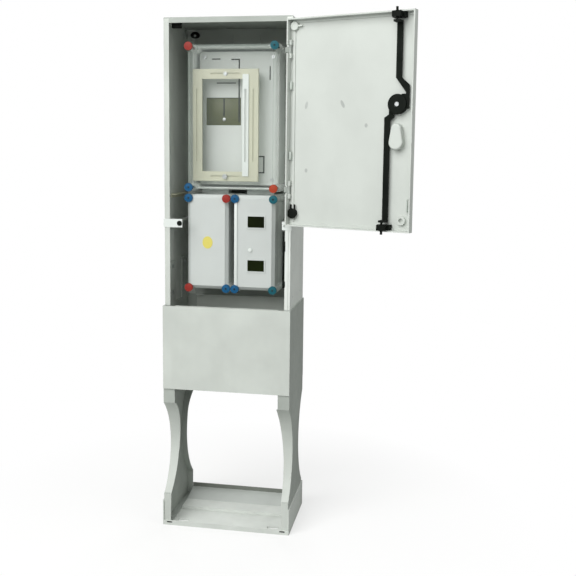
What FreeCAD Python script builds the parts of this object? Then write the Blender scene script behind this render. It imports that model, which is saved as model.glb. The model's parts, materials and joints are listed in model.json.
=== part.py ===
import FreeCAD, Part
import math
import os

import Sketcher

# Pedestal meter cabinet: a glass-fibre housing on a waisted pedestal, door open to the right.
# Frame: +X to the right seen from the front, the front looks to -Y, +Z up,
# origin at the centre of the underside of the base tray. Millimetres.

doc = FreeCAD.newDocument("MeterCabinet")
sheet = doc.addObject("Spreadsheet::Sheet", "Sizes")


class Size:
    """A length that knows its number and the expression over the sheet that gives it."""

    def __init__(self, number, text):
        self.number = float(number)
        self.text = text

    def __add__(self, other):
        return Size(self.number + value(other), "(%s + %s)" % (self.text, words(other)))

    def __radd__(self, other):
        return Size(value(other) + self.number, "(%s + %s)" % (words(other), self.text))

    def __sub__(self, other):
        return Size(self.number - value(other), "(%s - %s)" % (self.text, words(other)))

    def __rsub__(self, other):
        return Size(value(other) - self.number, "(%s - %s)" % (words(other), self.text))

    def __mul__(self, other):
        return Size(self.number * value(other), "(%s * %s)" % (self.text, words(other)))

    def __rmul__(self, other):
        return Size(value(other) * self.number, "(%s * %s)" % (words(other), self.text))

    def __truediv__(self, other):
        return Size(self.number / value(other), "(%s / %s)" % (self.text, words(other)))

    def __neg__(self):
        return Size(-self.number, "(0 - %s)" % self.text)


def value(quantity):
    """The number of a Size or of a plain number."""
    return quantity.number if isinstance(quantity, Size) else float(quantity)


def words(quantity):
    """The expression of a Size or of a plain number."""
    return quantity.text if isinstance(quantity, Size) else "%.9g" % quantity


def size(alias, number):
    """Writes one driving dimension into the sheet and returns it."""
    size.row += 1
    sheet.set("A%d" % size.row, alias)
    sheet.set("B%d" % size.row, "%.9g" % number)
    sheet.setAlias("B%d" % size.row, alias)
    return Size(number, "Sizes." + alias)


size.row = 0


# Driving dimensions of the housing and the pedestal
width = size("housing_width", 400)
depth = size("housing_depth", 250)
wall = size("wall", 4)
rim = size("rim_width", 17)
rim_step = size("rim_step", 2)
rim_outer = size("rim_outer_band", 7)
pedestal_over = size("pedestal_over", 4)
pedestal_front = size("pedestal_front", 12)
panel_low = size("panel_low", 454)
panel_high = size("panel_high", 721)
seam = size("seam_height", 982)
top = size("total_height", 1608)
fit_gap = size("fit_gap", 0.3)
flange_width = size("flange_width", 24)
screw_radius = size("screw_radius", 3)
screw_head = size("screw_head_radius", 6)
head_height = size("screw_head_height", 3)

# Base tray and legs
tray_lip = size("tray_lip", 15)
tray_back_lip = size("tray_back_lip", 44)
tray_floor = size("tray_floor", 5)
tray_cheek = size("tray_cheek_height", 82)
plateau_low = size("plateau_front", 126)
plateau_high = size("plateau_back", 189)
plateau_rise = size("plateau_rise", 8)
leg_flange = size("leg_flange", 37)
leg_low_flange = size("leg_low_flange", 22)
leg_taper = size("leg_taper", 100)
leg_bow = size("leg_bow", 5)
scoop_top = size("scoop_top", 407)
scoop_low = size("scoop_low", 103)
scoop_depth = size("scoop_depth", 72)
tongue_top = size("tongue_top", 856)
tongue_depth = size("tongue_depth", 62)
anchor_radius = size("anchor_slot_radius", 7)
anchor_length = size("anchor_slot_length", 40)
anchor_span = size("anchor_span", 300)
anchor_depth = size("anchor_depth", 190)

# Boxes on the rails
box_half = size("boxes_half_width", 141)
box_gap = size("boxes_gap", 18)
lower_bottom = size("lower_boxes_bottom", 771)
lower_top = size("lower_boxes_top", 1070)
meter_bottom = size("meter_box_bottom", 1087)
meter_top = size("meter_box_top", 1533)
cover_face = size("cover_face_depth", 50)
cover_depth = size("cover_depth", 58)
cover_wall = size("cover_wall", 3)
box_back = size("box_back_depth", 222)
box_wall = size("box_wall", 4)
bevel = size("cover_bevel", 10)
knob_radius = size("knob_radius", 13)
knob_height = size("knob_height", 9)
knob_inset = size("knob_inset", 5)
knob_drop = size("knob_drop", 11)
rail_width = size("rail_width", 30)
rail_sheet = size("rail_sheet", 2)
rail_spread = size("rail_spread", 95)
window_left = size("window_left", 55)
window_width = size("window_width", 53)
window_height = size("window_height", 35)
window_high = size("upper_window_height", 970)
window_low = size("lower_window_height", 832)

# Meter board and frame behind the clear cover
board_depth = size("board_depth", 150)
board_sheet = size("board_sheet", 4)
frame_left = size("meter_frame_left", 138)
frame_right = size("meter_frame_right", 76)
frame_bottom = size("meter_frame_bottom", 1111)
frame_top = size("meter_frame_top", 1463)
frame_bar = size("meter_frame_bar", 31)
frame_depth = size("meter_frame_depth", 100)
frame_thick = size("meter_frame_thick", 10)

# Door and its hinges
door_sill = size("door_sill", 3)
door_head = size("door_head", 14)
door_deep = size("door_thickness", 26)
door_skin = size("door_skin", 4)
door_gap = size("door_gap", 2)
hinge_inset = size("hinge_inset", 4)
hinge_front = size("hinge_front", 16)
hinge_edge = size("hinge_edge", 5)
door_far = size("door_far", 396)
pin_radius = size("hinge_pin_radius", 2.5)
pin_clearance = size("pin_clearance", 0.05)
barrel_radius = size("hinge_barrel_radius", 4.5)
barrel_half = size("hinge_barrel_half", 12)
ear_height = size("hinge_ear_height", 14)
hinge_over = size("lower_hinge_over_door_foot", 108)
hinge_under = size("upper_hinge_under_door_top", 87)
open_angle = size("open_angle", 160)
seal_width = size("seal_width", 8)
seal_thick = size("seal_thickness", 3)

# Lock and rods
lock_along = size("lock_along", 347)
lock_over = size("lock_over_door_middle", 51.5)
gear_module = size("gear_module", 1.5)
gear_teeth = 16
rod_thick = size("rod_thickness", 4)
rod_width = size("rod_width", 17)
upper_rod_side = size("upper_rod_side", 2)
lower_rod_side = size("lower_rod_side", 30)
rack_width = size("rack_width", 11)
strip_side = size("strip_side", 34)
rack_low = size("rack_length_below", 13)
rack_high = size("rack_length_above", 28)
case_radius = size("lock_case_radius", 28)
case_plate = size("lock_case_plate", 4)
tip_radius = size("rod_tip_radius", 3.5)
tip_over = size("rod_tip_over", 7)
guide_width = size("guide_width", 38)
guide_height = size("guide_height", 16)
spindle = size("spindle_square", 8)
journal_radius = size("upper_journal_radius", 6)
plate_half = size("handle_plate_half", 22)
plate_drop = size("handle_plate_drop", 136)
plate_thick = size("handle_plate_thickness", 3)
pocket_half = size("handle_pocket_half", 21)
pocket_drop = size("handle_pocket_drop", 126)
pocket_high_drop = size("handle_pocket_top_drop", 53)
pocket_top = size("handle_pocket_top_radius", 15)
pocket_deep = size("handle_pocket_depth", 22)

# Small features
bolt_radius = size("seam_bolt_radius", 4)
bolt_head = size("seam_bolt_head", 7)
bracket_half = size("bracket_half_height", 13)
bracket_over = size("bracket_over", 3)
bracket_long = size("left_bracket_length", 57)
bracket_short = size("right_bracket_length", 27)
bracket_tail = size("bracket_tail", 40)
rib_side = size("rear_rib_side", 45)
ledge_front = size("ledge_front", 52)
ledge_long = size("ledge_length", 129)
ledge_height = size("ledge_height", 1067)
passage_half = size("passage_half", 40)
entry_radius = size("entry_radius", 16)
entry_spread = size("entry_spread", 30)
seal_line = size("cover_seal_thickness", 2)
stem_radius = size("cover_screw_stem", 4)
wing = size("knob_wing", 6)
board_inset = size("board_inset", 12)
board_window = size("board_window_right", 8)
board_window_low = size("board_window_low", 1289)
board_window_high = size("board_window_height", 88)
terminal_half = size("terminal_half_width", 50)
terminal_high = size("terminal_height", 70)
terminal_deep = size("terminal_depth", 46)
terminal_bore = size("terminal_bore", 7)
din_post = size("din_post", 30)
din_width = size("din_rail_width", 35)
din_lip = size("din_rail_lip", 5)
din_deep = size("din_rail_depth", 7.5)
din_sheet = size("din_rail_sheet", 1)
cable_rail_drop = size("cable_rail_under_boxes", 141)
saddle_pitch = size("saddle_pitch", 90)
saddle_half = size("saddle_half", 24)
cable_radius = size("cable_radius", 14)
vent_radius = size("vent_radius", 15)
dish_radius = size("vent_dish_radius", 9)
arm_half = size("hinge_arm_half", 8)
boss_along = size("stop_boss_along", 364)
boss_over = size("stop_boss_over_door_foot", 33)
boss_radius = size("stop_boss_radius", 13)
boss_rise = size("stop_boss_rise", 8)
clip_inset = size("hinge_clip_inset", 18)
clip_radius = size("hinge_clip_radius", 13)
clip_thick = size("hinge_clip_thickness", 10)
clip_prong = size("hinge_clip_prong", 26)
clip_over = size("lower_clip_over_door_foot", 39)
clip_under = size("upper_clip_under_door_top", 21)
case_foot = size("case_foot_half", 7)
hub_radius = size("hub_radius", 17)
lug_half = size("hub_lug_half", 5)
lug_reach = size("hub_lug_reach", 15)
cheek = size("lever_cheek", 6)
lever_thick = size("lever_thickness", 10)
TERMINALS = 4
PRESSURE = math.radians(20)
ADDENDUM = 0.9
DEDENDUM = 1.25
BACKLASH = 0.3
FLANK_STEPS = 4
CRANK_ROOM = 7
CRANK_HIGH = 6

# Places worked out from them
half = width / 2
back = (depth + pedestal_front) / 2
front = back - depth
panel_face = front - pedestal_front
outer = half + pedestal_over
pitch = gear_module * gear_teeth / 2
cable_rail_height = lower_bottom - cable_rail_drop
door_low = seam + door_sill
door_high = top - door_head
hinge_low = door_low + hinge_over
hinge_high = door_high - hinge_under
lock_height = (door_low + door_high) / 2 + lock_over
plate_low = lock_height - plate_drop
pocket_low = lock_height - pocket_drop
pocket_high = lock_height - pocket_high_drop
boss_height = door_low + boss_over
clip_low = door_low + clip_over
clip_high = door_high - clip_under
hinge_x = half - hinge_inset
hinge_y = front - hinge_front


def bind(target, prop, quantity):
    """Sets a property from a Size, bound to the sheet, or from a number."""
    if isinstance(quantity, Size):
        target.setExpression(prop, quantity.text)
    else:
        target.setExpression(prop, words(quantity))


class Circle:
    """A round outline in a sketch."""

    def __init__(self, u, v, radius):
        self.u = u
        self.v = v
        self.radius = radius


def rectangle(u_low, u_high, v_low, v_high):
    """Corner points of a rectangle."""
    return [(u_low, v_low), (u_high, v_low), (u_high, v_high), (u_low, v_high)]


def egg(u, v_low, v_high, low_radius, high_radius):
    """An upright outline with round ends of two sizes."""
    return [
        (u + high_radius, v_high - high_radius),
        (u - high_radius, v_high - high_radius, -high_radius),
        (u - low_radius, v_low + low_radius),
        (u + low_radius, v_low + low_radius, -low_radius),
    ]


def slot(u, v, half_length, radius):
    """A slot along u: two straight sides and two half-round ends."""
    run = half_length - radius
    return [
        (u + run, v - radius),
        (u + run, v + radius, -radius),
        (u - run, v + radius),
        (u - run, v - radius, -radius),
    ]


def stadium(u, v_low, v_high, radius):
    """An upright slot outline with half-round ends."""
    return [
        (u + radius, v_high - radius),
        (u - radius, v_high - radius, -radius),
        (u - radius, v_low + radius),
        (u + radius, v_low + radius, -radius),
    ]


def dimension(sketch, kind, quantity, *places):
    """One dimension in a sketch, bound to the sheet."""
    index = sketch.addConstraint(Sketcher.Constraint(kind, *places, value(quantity)))
    bind(sketch, "Constraints[%d]" % index, quantity)


def draw_circle(sketch, circle):
    """A dimensioned circle."""
    centre = FreeCAD.Vector(value(circle.u), value(circle.v), 0)
    shape = Part.Circle(centre, FreeCAD.Vector(0, 0, 1), value(circle.radius))
    index = sketch.addGeometry(shape, False)
    dimension(sketch, "DistanceX", circle.u, -1, 1, index, 3)
    dimension(sketch, "DistanceY", circle.v, -1, 1, index, 3)
    dimension(sketch, "Radius", circle.radius, index)


def arc_between(start, end, rise):
    """The arc from start to end that rises to the left by rise, and whether it runs start to end."""
    chord = end - start
    left = FreeCAD.Vector(-chord.y, chord.x, 0).normalize()
    crown = (start + end) / 2 + left * rise
    arc = Part.Arc(start, crown, end).toShape().Curve
    middle = arc.Center
    first = math.atan2(start.y - middle.y, start.x - middle.x)
    last = math.atan2(end.y - middle.y, end.x - middle.x)
    circle = Part.Circle(middle, FreeCAD.Vector(0, 0, 1), arc.Radius)
    if rise < 0:
        return Part.ArcOfCircle(circle, first, last), True
    return Part.ArcOfCircle(circle, last, first), False


def draw_outline(sketch, points):
    """A closed outline. A point's third value makes its side an arc with that rise to the left."""
    count = len(points)
    base = sketch.GeometryCount
    ends = []
    for i in range(count):
        before = points[i - 1]
        here = points[i]
        start = FreeCAD.Vector(value(before[0]), value(before[1]), 0)
        end = FreeCAD.Vector(value(here[0]), value(here[1]), 0)
        forward = True
        if len(here) == 3:
            side, forward = arc_between(start, end, value(here[2]))
        else:
            side = Part.LineSegment(start, end)
        sketch.addGeometry(side, False)
        ends.append((1, 2) if forward else (2, 1))
    for i in range(count):
        follower = (i + 1) % count
        sketch.addConstraint(
            Sketcher.Constraint("Coincident", base + i, ends[i][1], base + follower, ends[follower][0])
        )
    for i in range(count):
        dimension(sketch, "DistanceX", points[i][0], -1, 1, base + i, ends[i][1])
        dimension(sketch, "DistanceY", points[i][1], -1, 1, base + i, ends[i][1])
        if len(points[i]) == 3:
            before = points[i - 1]
            along = points[i][0] - before[0]
            across = points[i][1] - before[1]
            rise = points[i][2]
            if abs(value(along)) < abs(value(across)):
                inward = across * across / (rise * 8) - rise / 2
                middle = points[i][0] + inward if value(across) > 0 else points[i][0] - inward
                dimension(sketch, "DistanceX", middle, -1, 1, base + i, 3)
            else:
                inward = along * along / (rise * 8) - rise / 2
                middle = points[i][1] - inward if value(along) > 0 else points[i][1] + inward
                dimension(sketch, "DistanceY", middle, -1, 1, base + i, 3)


class Piece:
    """One rigid piece: a body with pads, pockets and rounded edges."""

    def __init__(self, label):
        self.body = doc.addObject("PartDesign::Body", "Body")
        self.body.Label = label
        self.label = label

    def sketch(self, plane, offset, outlines):
        """A sketch on one of the body's planes, shifted along the plane's normal."""
        made = self.body.newObject("Sketcher::SketchObject", "Outline")
        support = [f for f in self.body.Origin.OriginFeatures if f.Role == plane][0]
        made.AttachmentSupport = [(support, "")]
        made.MapMode = "FlatFace"
        bind(made, ".AttachmentOffset.Base.z", offset)
        for outline in outlines:
            if isinstance(outline, Circle):
                draw_circle(made, outline)
            else:
                draw_outline(made, outline)
        return made

    def pad(self, plane, low, high, *outlines):
        """Adds material between two heights over a plane. XZ looks to -Y."""
        offset = -high if plane == "XZ_Plane" else low
        made = self.body.newObject("PartDesign::Pad", "Pad")
        made.Profile = self.sketch(plane, offset, outlines)
        bind(made, "Length", high - low)
        doc.recompute()
        return self

    def pocket(self, plane, low, high, *outlines):
        """Cuts material between two heights over a plane, and checks that some went."""
        before = self.body.Shape.Volume
        offset = -low if plane == "XZ_Plane" else high
        made = self.body.newObject("PartDesign::Pocket", "Pocket")
        made.Profile = self.sketch(plane, offset, outlines)
        bind(made, "Length", high - low)
        doc.recompute()
        if not self.body.Shape.Volume < before:
            raise RuntimeError("a pocket in %s cuts nothing" % self.label)
        return self

    def dress(self, kind, prop, amount, chosen):
        """A fillet or chamfer on the edges that the test picks."""
        tip = self.body.Tip
        names = ["Edge%d" % (i + 1) for i, e in enumerate(tip.Shape.Edges) if chosen(e)]
        if not names:
            raise RuntimeError("no edge to dress in %s" % self.label)
        made = self.body.newObject(kind, "Dressing")
        made.Base = (tip, names)
        bind(made, prop, amount)
        doc.recompute()
        return self

    def fillet(self, radius, chosen):
        return self.dress("PartDesign::Fillet", "Radius", radius, chosen)

    def chamfer(self, amount, chosen):
        return self.dress("PartDesign::Chamfer", "Size", amount, chosen)


def near(number, target):
    return abs(number - value(target)) < 0.01


def upright(edge, *pairs):
    """True for a straight vertical edge at one of the given x, y places."""
    box = edge.BoundBox
    if box.XLength > 0.01 or box.YLength > 0.01:
        return False
    return any(near(box.XMin, x) and near(box.YMin, y) for x, y in pairs)


def in_face(edge, axis, level):
    """True for an edge that lies at one level of an axis."""
    box = edge.BoundBox
    low = getattr(box, axis + "Min")
    high = getattr(box, axis + "Max")
    return near(low, level) and near(high, level)


def place(target, x, y, z):
    """Binds a primitive's position."""
    for axis, quantity in (("x", x), ("y", y), ("z", z)):
        bind(target, ".Placement.Base." + axis, quantity)


def block(x_low, x_high, y_low, y_high, z_low, z_high):
    """A box primitive between bound faces."""
    made = doc.addObject("Part::Box", "Block")
    bind(made, "Length", x_high - x_low)
    bind(made, "Width", y_high - y_low)
    bind(made, "Height", z_high - z_low)
    place(made, x_low, y_low, z_low)
    return made


TURNS = {
    "z": FreeCAD.Rotation(),
    "y": FreeCAD.Rotation(FreeCAD.Vector(1, 0, 0), -90),
    "x": FreeCAD.Rotation(FreeCAD.Vector(0, 1, 0), 90),
}


def cylinder(axis, radius, x, y, z, length):
    """A cylinder primitive from x, y, z along +axis."""
    made = doc.addObject("Part::Cylinder", "Round")
    made.Placement = FreeCAD.Placement(FreeCAD.Vector(0, 0, 0), TURNS[axis])
    bind(made, "Radius", radius)
    bind(made, "Height", length)
    place(made, x, y, z)
    return made


def fuse(*parts):
    """One solid from several."""
    made = doc.addObject("Part::MultiFuse", "Joined")
    made.Shapes = list(parts)
    made.Refine = True
    return made


def cut(base, *tools):
    """A solid less its tools."""
    made = doc.addObject("Part::Cut", "Trimmed")
    made.Base = base
    made.Tool = tools[0] if len(tools) == 1 else fuse(*tools)
    made.Refine = True
    return made


def group(parts):
    """Separate solids kept together as one node."""
    made = doc.addObject("Part::Compound", "Set")
    made.Links = list(parts)
    return made


nodes = {}


def keep(label, made):
    """Names a finished sub-part."""
    target = made.body if isinstance(made, Piece) else made
    target.Label = label
    nodes[label] = target
    return target


def sided(side, near_x, far_x):
    """Low and high x of a span that is given from the middle outwards."""
    return (near_x, far_x) if side > 0 else (-far_x, -near_x)


door_back = front - door_gap
door_face = door_back - door_deep
skin_back = door_face + door_skin
door_right = hinge_x + hinge_edge
door_left = hinge_x - door_far
lock_x = hinge_x - lock_along
joint_plane = front + cover_face + cover_depth
box_rear = front + box_back
rod_low = hinge_y
rod_high = rod_low + rod_thick
tip_y = front + rim_step + wall + tip_radius + fit_gap
clip_x = door_right - clip_inset
rear_face = back - wall
rear_screw_x = half - wall - flange_width / 2


# Base tray: a shallow moulded frame with a lip, side cheeks and a raised middle band
def base_tray():
    tray = Piece("base_tray")
    edge = outer + wall
    tray.pad("XY_Plane", 0, tray_lip, rectangle(-edge, edge, panel_face, back))
    inner = rectangle(-outer, outer, panel_face + wall, back - wall)
    tray.pocket("XY_Plane", tray_floor, tray_lip, inner)
    for side in (-1, 1):
        low, high = sided(side, outer, edge)
        tray.pad("XY_Plane", tray_floor, tray_cheek, rectangle(low, high, panel_face, back))
    clear = outer - leg_low_flange - fit_gap
    band = rectangle(-clear, clear, panel_face + plateau_low, panel_face + plateau_high)
    tray.pad("XY_Plane", 0, tray_floor + plateau_rise, band)
    tray.pad("XY_Plane", 0, tray_back_lip, rectangle(-clear, clear, back - wall, back))
    slots = []
    for x in (-anchor_span / 2, anchor_span / 2):
        for y in (-anchor_depth / 2, anchor_depth / 2):
            slots.append(slot(x, y, anchor_length / 2, anchor_radius))
    tray.pocket("XY_Plane", 0, tray_floor, *slots)
    notches = []
    for x in (leg_flange / 2 - outer, outer - leg_flange / 2):
        notches.append(slot(x, tray_floor + tray_lip / 3, leg_flange / 4, tray_lip / 6))
    tray.pocket("XZ_Plane", panel_face, panel_face + wall, *notches)
    corners = [(x, y) for x in (-edge, edge) for y in (panel_face, back)]
    tray.fillet(wall - 1, lambda e: upright(e, *corners))
    keep("base_tray", tray)


# Leg: a channel moulding with an hourglass side, and a tongue that laps the housing above
def leg(side, label):
    made = Piece(label)
    low_y = panel_face + wall
    high_y = back - wall
    scoop_back = scoop_low - pedestal_front
    shape = [
        (low_y, tray_floor),
        (high_y, tray_floor),
        (high_y, scoop_back),
        (high_y, scoop_top, scoop_depth),
        (high_y, panel_high),
        (low_y, panel_high),
        (low_y, scoop_top),
        (low_y, scoop_low, scoop_depth),
    ]
    inner_x = outer - leg_flange
    made.pad("YZ_Plane", *sided(side, inner_x, outer), shape)
    hollow = [
        (low_y + wall, tray_floor + wall),
        (high_y - wall, tray_floor + wall),
        (high_y - wall, scoop_back - wall),
        (high_y - wall, scoop_top + wall, scoop_depth),
        (high_y - wall, panel_high + wall),
        (low_y + wall, panel_high + wall),
        (low_y + wall, scoop_top + wall),
        (low_y + wall, scoop_low - wall, scoop_depth),
    ]
    made.pocket("YZ_Plane", *sided(side, inner_x, outer - wall), hollow)
    narrow_x = outer - leg_low_flange
    foot = tray_floor - 1
    taper_low = scoop_top - leg_taper
    if side > 0:
        waist = [
            (inner_x - 1, foot),
            (narrow_x, foot),
            (narrow_x, taper_low),
            (inner_x, scoop_top, -leg_bow),
            (inner_x - 1, scoop_top),
        ]
    else:
        waist = [
            (1 - inner_x, foot),
            (1 - inner_x, scoop_top),
            (-inner_x, scoop_top),
            (-narrow_x, taper_low, -leg_bow),
            (-narrow_x, foot),
        ]
    made.pocket("XZ_Plane", low_y, high_y, waist)
    face = half - wall
    y_low = front + rim_step + wall + rim
    y_high = rear_face - wall * 2 - rim
    step = rectangle(*sided(side, face - wall, outer - wall / 2), y_low, y_high)
    made.pad("XY_Plane", panel_high - wall * 3, panel_high, step)
    for y in (y_low, y_high - tongue_depth):
        tongue = rectangle(*sided(side, face - wall, face), y, y + tongue_depth)
        made.pad("XY_Plane", panel_high - wall, tongue_top, tongue)
    holes = []
    for y in (y_low + tongue_depth / 2, y_high - tongue_depth / 2):
        for z in (panel_high + rim * 2, tongue_top - rim):
            holes.append((y, z))
    circles = [Circle(y, z, screw_radius) for y, z in holes]
    made.pocket("YZ_Plane", *sided(side, face - wall, face), *circles)
    keep(label, made)
    return holes


# Pedestal panel: a flat moulding with two stiffening returns between the legs
def pedestal_panel(label, y_low, returns_low, returns_high):
    made = Piece(label)
    made.pad("XZ_Plane", y_low, y_low + wall, rectangle(-outer, outer, panel_low, panel_high))
    inner = outer - leg_flange - 1
    strips = [
        rectangle(-inner, inner, panel_low, panel_low + wall),
        rectangle(-inner, inner, panel_high - wall, panel_high),
    ]
    made.pad("XZ_Plane", returns_low, returns_high, *strips)
    keep(label, made)


# Side wall: one moulded channel with a stepped rim in front and a screw flange behind
def side_wall(side, label, low, high, flange_low, bolts, holes):
    made = Piece(label)
    step_y = front + rim_step
    points = [
        (half - rim, front),
        (half - rim_outer, front),
        (half - rim_outer, step_y),
        (half, step_y),
        (half, rear_face),
        (half - wall - flange_width, rear_face),
        (half - wall - flange_width, rear_face - wall),
        (half - wall, rear_face - wall),
        (half - wall, step_y + wall),
        (half - rim, step_y + wall),
    ]
    if side < 0:
        points = [(0 - p[0], p[1]) for p in reversed(points)]
    made.pad("XY_Plane", low, high, points)
    tab_x = sided(side, half - wall - flange_width, half - wall)
    tab = rectangle(*tab_x, step_y + wall, rear_face - wall)
    made.pad("XY_Plane", flange_low, flange_low + wall, tab)
    reach = bracket_half + fit_gap
    notch = rectangle(*sided(side, half - rim, half + 1), seam - reach, seam + reach)
    made.pocket("XZ_Plane", front - 1, front + wall + fit_gap, notch)
    inner_notch = rectangle(*sided(side, half - rim, half - wall), seam - reach, seam + reach)
    made.pocket("XZ_Plane", front + wall, step_y + wall, inner_notch)
    bolt_holes = [Circle(x * side, y, bolt_radius) for x, y in bolts]
    made.pocket("XY_Plane", flange_low, flange_low + wall, *bolt_holes)
    if holes:
        circles = [Circle(y, z, screw_radius) for y, z in holes]
        made.pocket("YZ_Plane", *sided(side, half - wall, half), *circles)
    rear = [Circle(side * rear_screw_x, z, screw_radius) for z in rear_screws(low, high)]
    made.pocket("XZ_Plane", rear_face - wall, rear_face, *rear)
    if label.startswith("upper"):
        recess = rectangle(*sided(side, half - rim, half - rim_outer), top - rim_outer, top - wall)
        made.pocket("XZ_Plane", front, step_y, recess)
    keep(label, made)


def rear_screws(low, high):
    """Heights of the screws that hold a rear wall."""
    return (low + rim * 2, (low + high) / 2, high - rim * 2)


# Rear wall: a flat moulding with two upright ribs on its inside
def rear_wall(label, low, high):
    made = Piece(label)
    made.pad("XZ_Plane", rear_face, back, rectangle(-half, half, low, high))
    ribs = []
    for x in (-rib_side, rib_side):
        ribs.append(rectangle(x - wall, x + wall, low + rim, high - rim))
    made.pad("XZ_Plane", rear_face - wall, rear_face, *ribs)
    holes = []
    for side in (-1, 1):
        holes += [Circle(side * rear_screw_x, z, screw_radius) for z in rear_screws(low, high)]
    made.pocket("XZ_Plane", rear_face, back, *holes)
    keep(label, made)


# Roof: a plate with a stepped lip that closes the rim at the front
def roof():
    made = Piece("roof")
    step_y = front + rim_step
    made.pad("XY_Plane", top - wall, top, rectangle(-half, half, step_y, back))
    lip = [
        (front, top - rim),
        (step_y + wall, top - rim),
        (step_y + wall, top - wall),
        (step_y, top - wall),
        (step_y, top - rim_outer),
        (front, top - rim_outer),
    ]
    made.pad("YZ_Plane", rim - half, half - rim, lip)
    made.fillet(wall / 2, lambda e: in_face(e, "Z", top))
    keep("roof", made)


# Corner bracket: an angle plate over the seam of the housings, with a hole for a front cover
def corner_bracket(side, label):
    made = Piece(label)
    far = half + bracket_over
    near_x = half - (bracket_short if side > 0 else bracket_long)
    plate = rectangle(*sided(side, near_x, far), seam - bracket_half, seam + bracket_half)
    made.pad("XZ_Plane", front, front + wall, plate)
    face = half - wall
    tail = rectangle(*sided(side, face - wall, face), front, front + bracket_tail)
    made.pad("XY_Plane", seam + wall, seam + bracket_half, tail)
    made.pad("XY_Plane", seam - bracket_half, seam - wall, tail)
    hole = Circle(side * (near_x + rim / 2), seam, screw_radius + 1)
    made.pocket("XZ_Plane", front, front + wall, hole)
    return made.body


def screws(places, axis, sign, length, radius, head, height):
    """A group of screws: a head on a plane and a shank that runs to its other side."""
    made = []
    for x, y, z in places:
        if axis == "y":
            start = y - length if sign > 0 else y
            shank = cylinder("y", radius, x, start, z, length)
            knob = cylinder("y", head, x, y if sign > 0 else y - height, z, height)
        elif axis == "x":
            start = x if sign < 0 else x - length
            shank = cylinder("x", radius, start, y, z, length)
            knob = cylinder("x", head, x - height if sign < 0 else x, y, z, height)
        else:
            start = z - length if sign > 0 else z
            shank = cylinder("z", radius, x, y, start, length)
            knob = cylinder("z", head, x, y, z if sign > 0 else z - height, height)
        made.append(fuse(shank, knob))
    return made


# Mounting rail: a C channel of galvanised sheet, its slot to the front
def c_channel(made, plane, u, low, high, deep_low, deep_high, lip):
    """Pads a C section whose mouth looks to the low side of the depth."""
    out = rail_width / 2
    inside = out - rail_sheet
    points = [
        (u - out, deep_low),
        (u - out + lip, deep_low),
        (u - out + lip, deep_low + rail_sheet),
        (u - inside, deep_low + rail_sheet),
        (u - inside, deep_high - rail_sheet),
        (u + inside, deep_high - rail_sheet),
        (u + inside, deep_low + rail_sheet),
        (u + out - lip, deep_low + rail_sheet),
        (u + out - lip, deep_low),
        (u + out, deep_low),
        (u + out, deep_high),
        (u - out, deep_high),
    ]
    if plane == "YZ_Plane":
        points = [(p[1], p[0]) for p in points]
    made.pad(plane, low, high, points)


def mounting_rail(label, x):
    made = Piece(label)
    c_channel(made, "XY_Plane", x, lower_bottom - rim, meter_top + rim, box_rear, rear_face, rail_width / 4)
    return made.body


# Cable ledge: a small moulded shelf on the side wall beside the boxes
def cable_ledge():
    made = Piece("cable_ledge")
    face = wall - half
    low_y = front + ledge_front
    high_y = low_y + ledge_long
    made.pad("XY_Plane", ledge_height, ledge_height + wall, rectangle(face, face + rim, low_y, high_y))
    made.pad("XY_Plane", ledge_height - rim / 2, ledge_height, rectangle(face, face + wall, low_y, high_y))
    keep("cable_ledge", made)


class BoxPlan:
    """Where one closed box stands: its sides and its screw places."""

    def __init__(self, name, left, right, low, high, screw_low, screw_high):
        self.name = name
        self.left = left
        self.right = right
        self.low = low
        self.high = high
        self.screws = [
            (left + knob_inset, high - screw_high),
            (right - knob_inset, high - screw_high),
            (left + knob_inset, low + screw_low),
            (right - knob_inset, low + screw_low),
        ]

    def outline(self, inset):
        """The box's rectangle, drawn in by an inset."""
        return rectangle(self.left + inset, self.right - inset, self.low + inset, self.high - inset)

    def circles(self, radius):
        """A circle at each cover screw."""
        return [Circle(x, z, radius) for x, z in self.screws]


meter_plan = BoxPlan("meter", -box_half, box_half, meter_bottom, meter_top, knob_drop / 2, knob_drop / 2)
left_plan = BoxPlan("left", -box_half, -box_gap / 2, lower_bottom, lower_top, knob_drop / 4, knob_drop)
right_plan = BoxPlan("right", box_gap / 2, box_half, lower_bottom, lower_top, knob_drop / 4, knob_drop)


def passages(plan):
    """Outlines in x and y of the cable passages through a box's top or bottom wall."""
    middle_y = (joint_plane + box_rear) / 2
    made = []
    for other in (left_plan, right_plan):
        middle = (other.left + other.right) / 2
        if plan.left.number <= middle.number <= plan.right.number:
            made.append(
                rectangle(middle - passage_half, middle + passage_half, middle_y - rim, middle_y + rim)
            )
    return made


# Box base: an open moulded tray with round screw towers in its corners
def box_base(plan, shelf_depth, shelves):
    made = Piece(plan.name + "_box_base")
    rim_y = joint_plane + seal_line
    made.pad("XZ_Plane", rim_y, box_rear, plan.outline(0))
    made.pocket("XZ_Plane", rim_y, box_rear - box_wall, plan.outline(box_wall))
    made.pad("XZ_Plane", rim_y, box_rear, *plan.circles(knob_radius))
    made.pocket("XZ_Plane", rim_y, rim_y + rail_width, *plan.circles(stem_radius))
    if shelves:
        made.pad("XZ_Plane", shelf_depth, box_rear - box_wall, *shelves)
    if plan is meter_plan:
        made.pocket("XY_Plane", plan.low, plan.low + box_wall, *passages(plan))
    else:
        made.pocket("XY_Plane", plan.high - box_wall, plan.high, *passages(plan))
        entries = [Circle(x, (joint_plane + box_rear) / 2, entry_radius) for x in entry_places(plan)]
        made.pocket("XY_Plane", plan.low, plan.low + box_wall, *entries)
    keep(plan.name + "_box_base", made)


def entry_places(plan):
    """X of the two cable entries in the bottom of a lower box."""
    middle = (plan.left + plan.right) / 2
    return (middle - entry_spread, middle + entry_spread)


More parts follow.
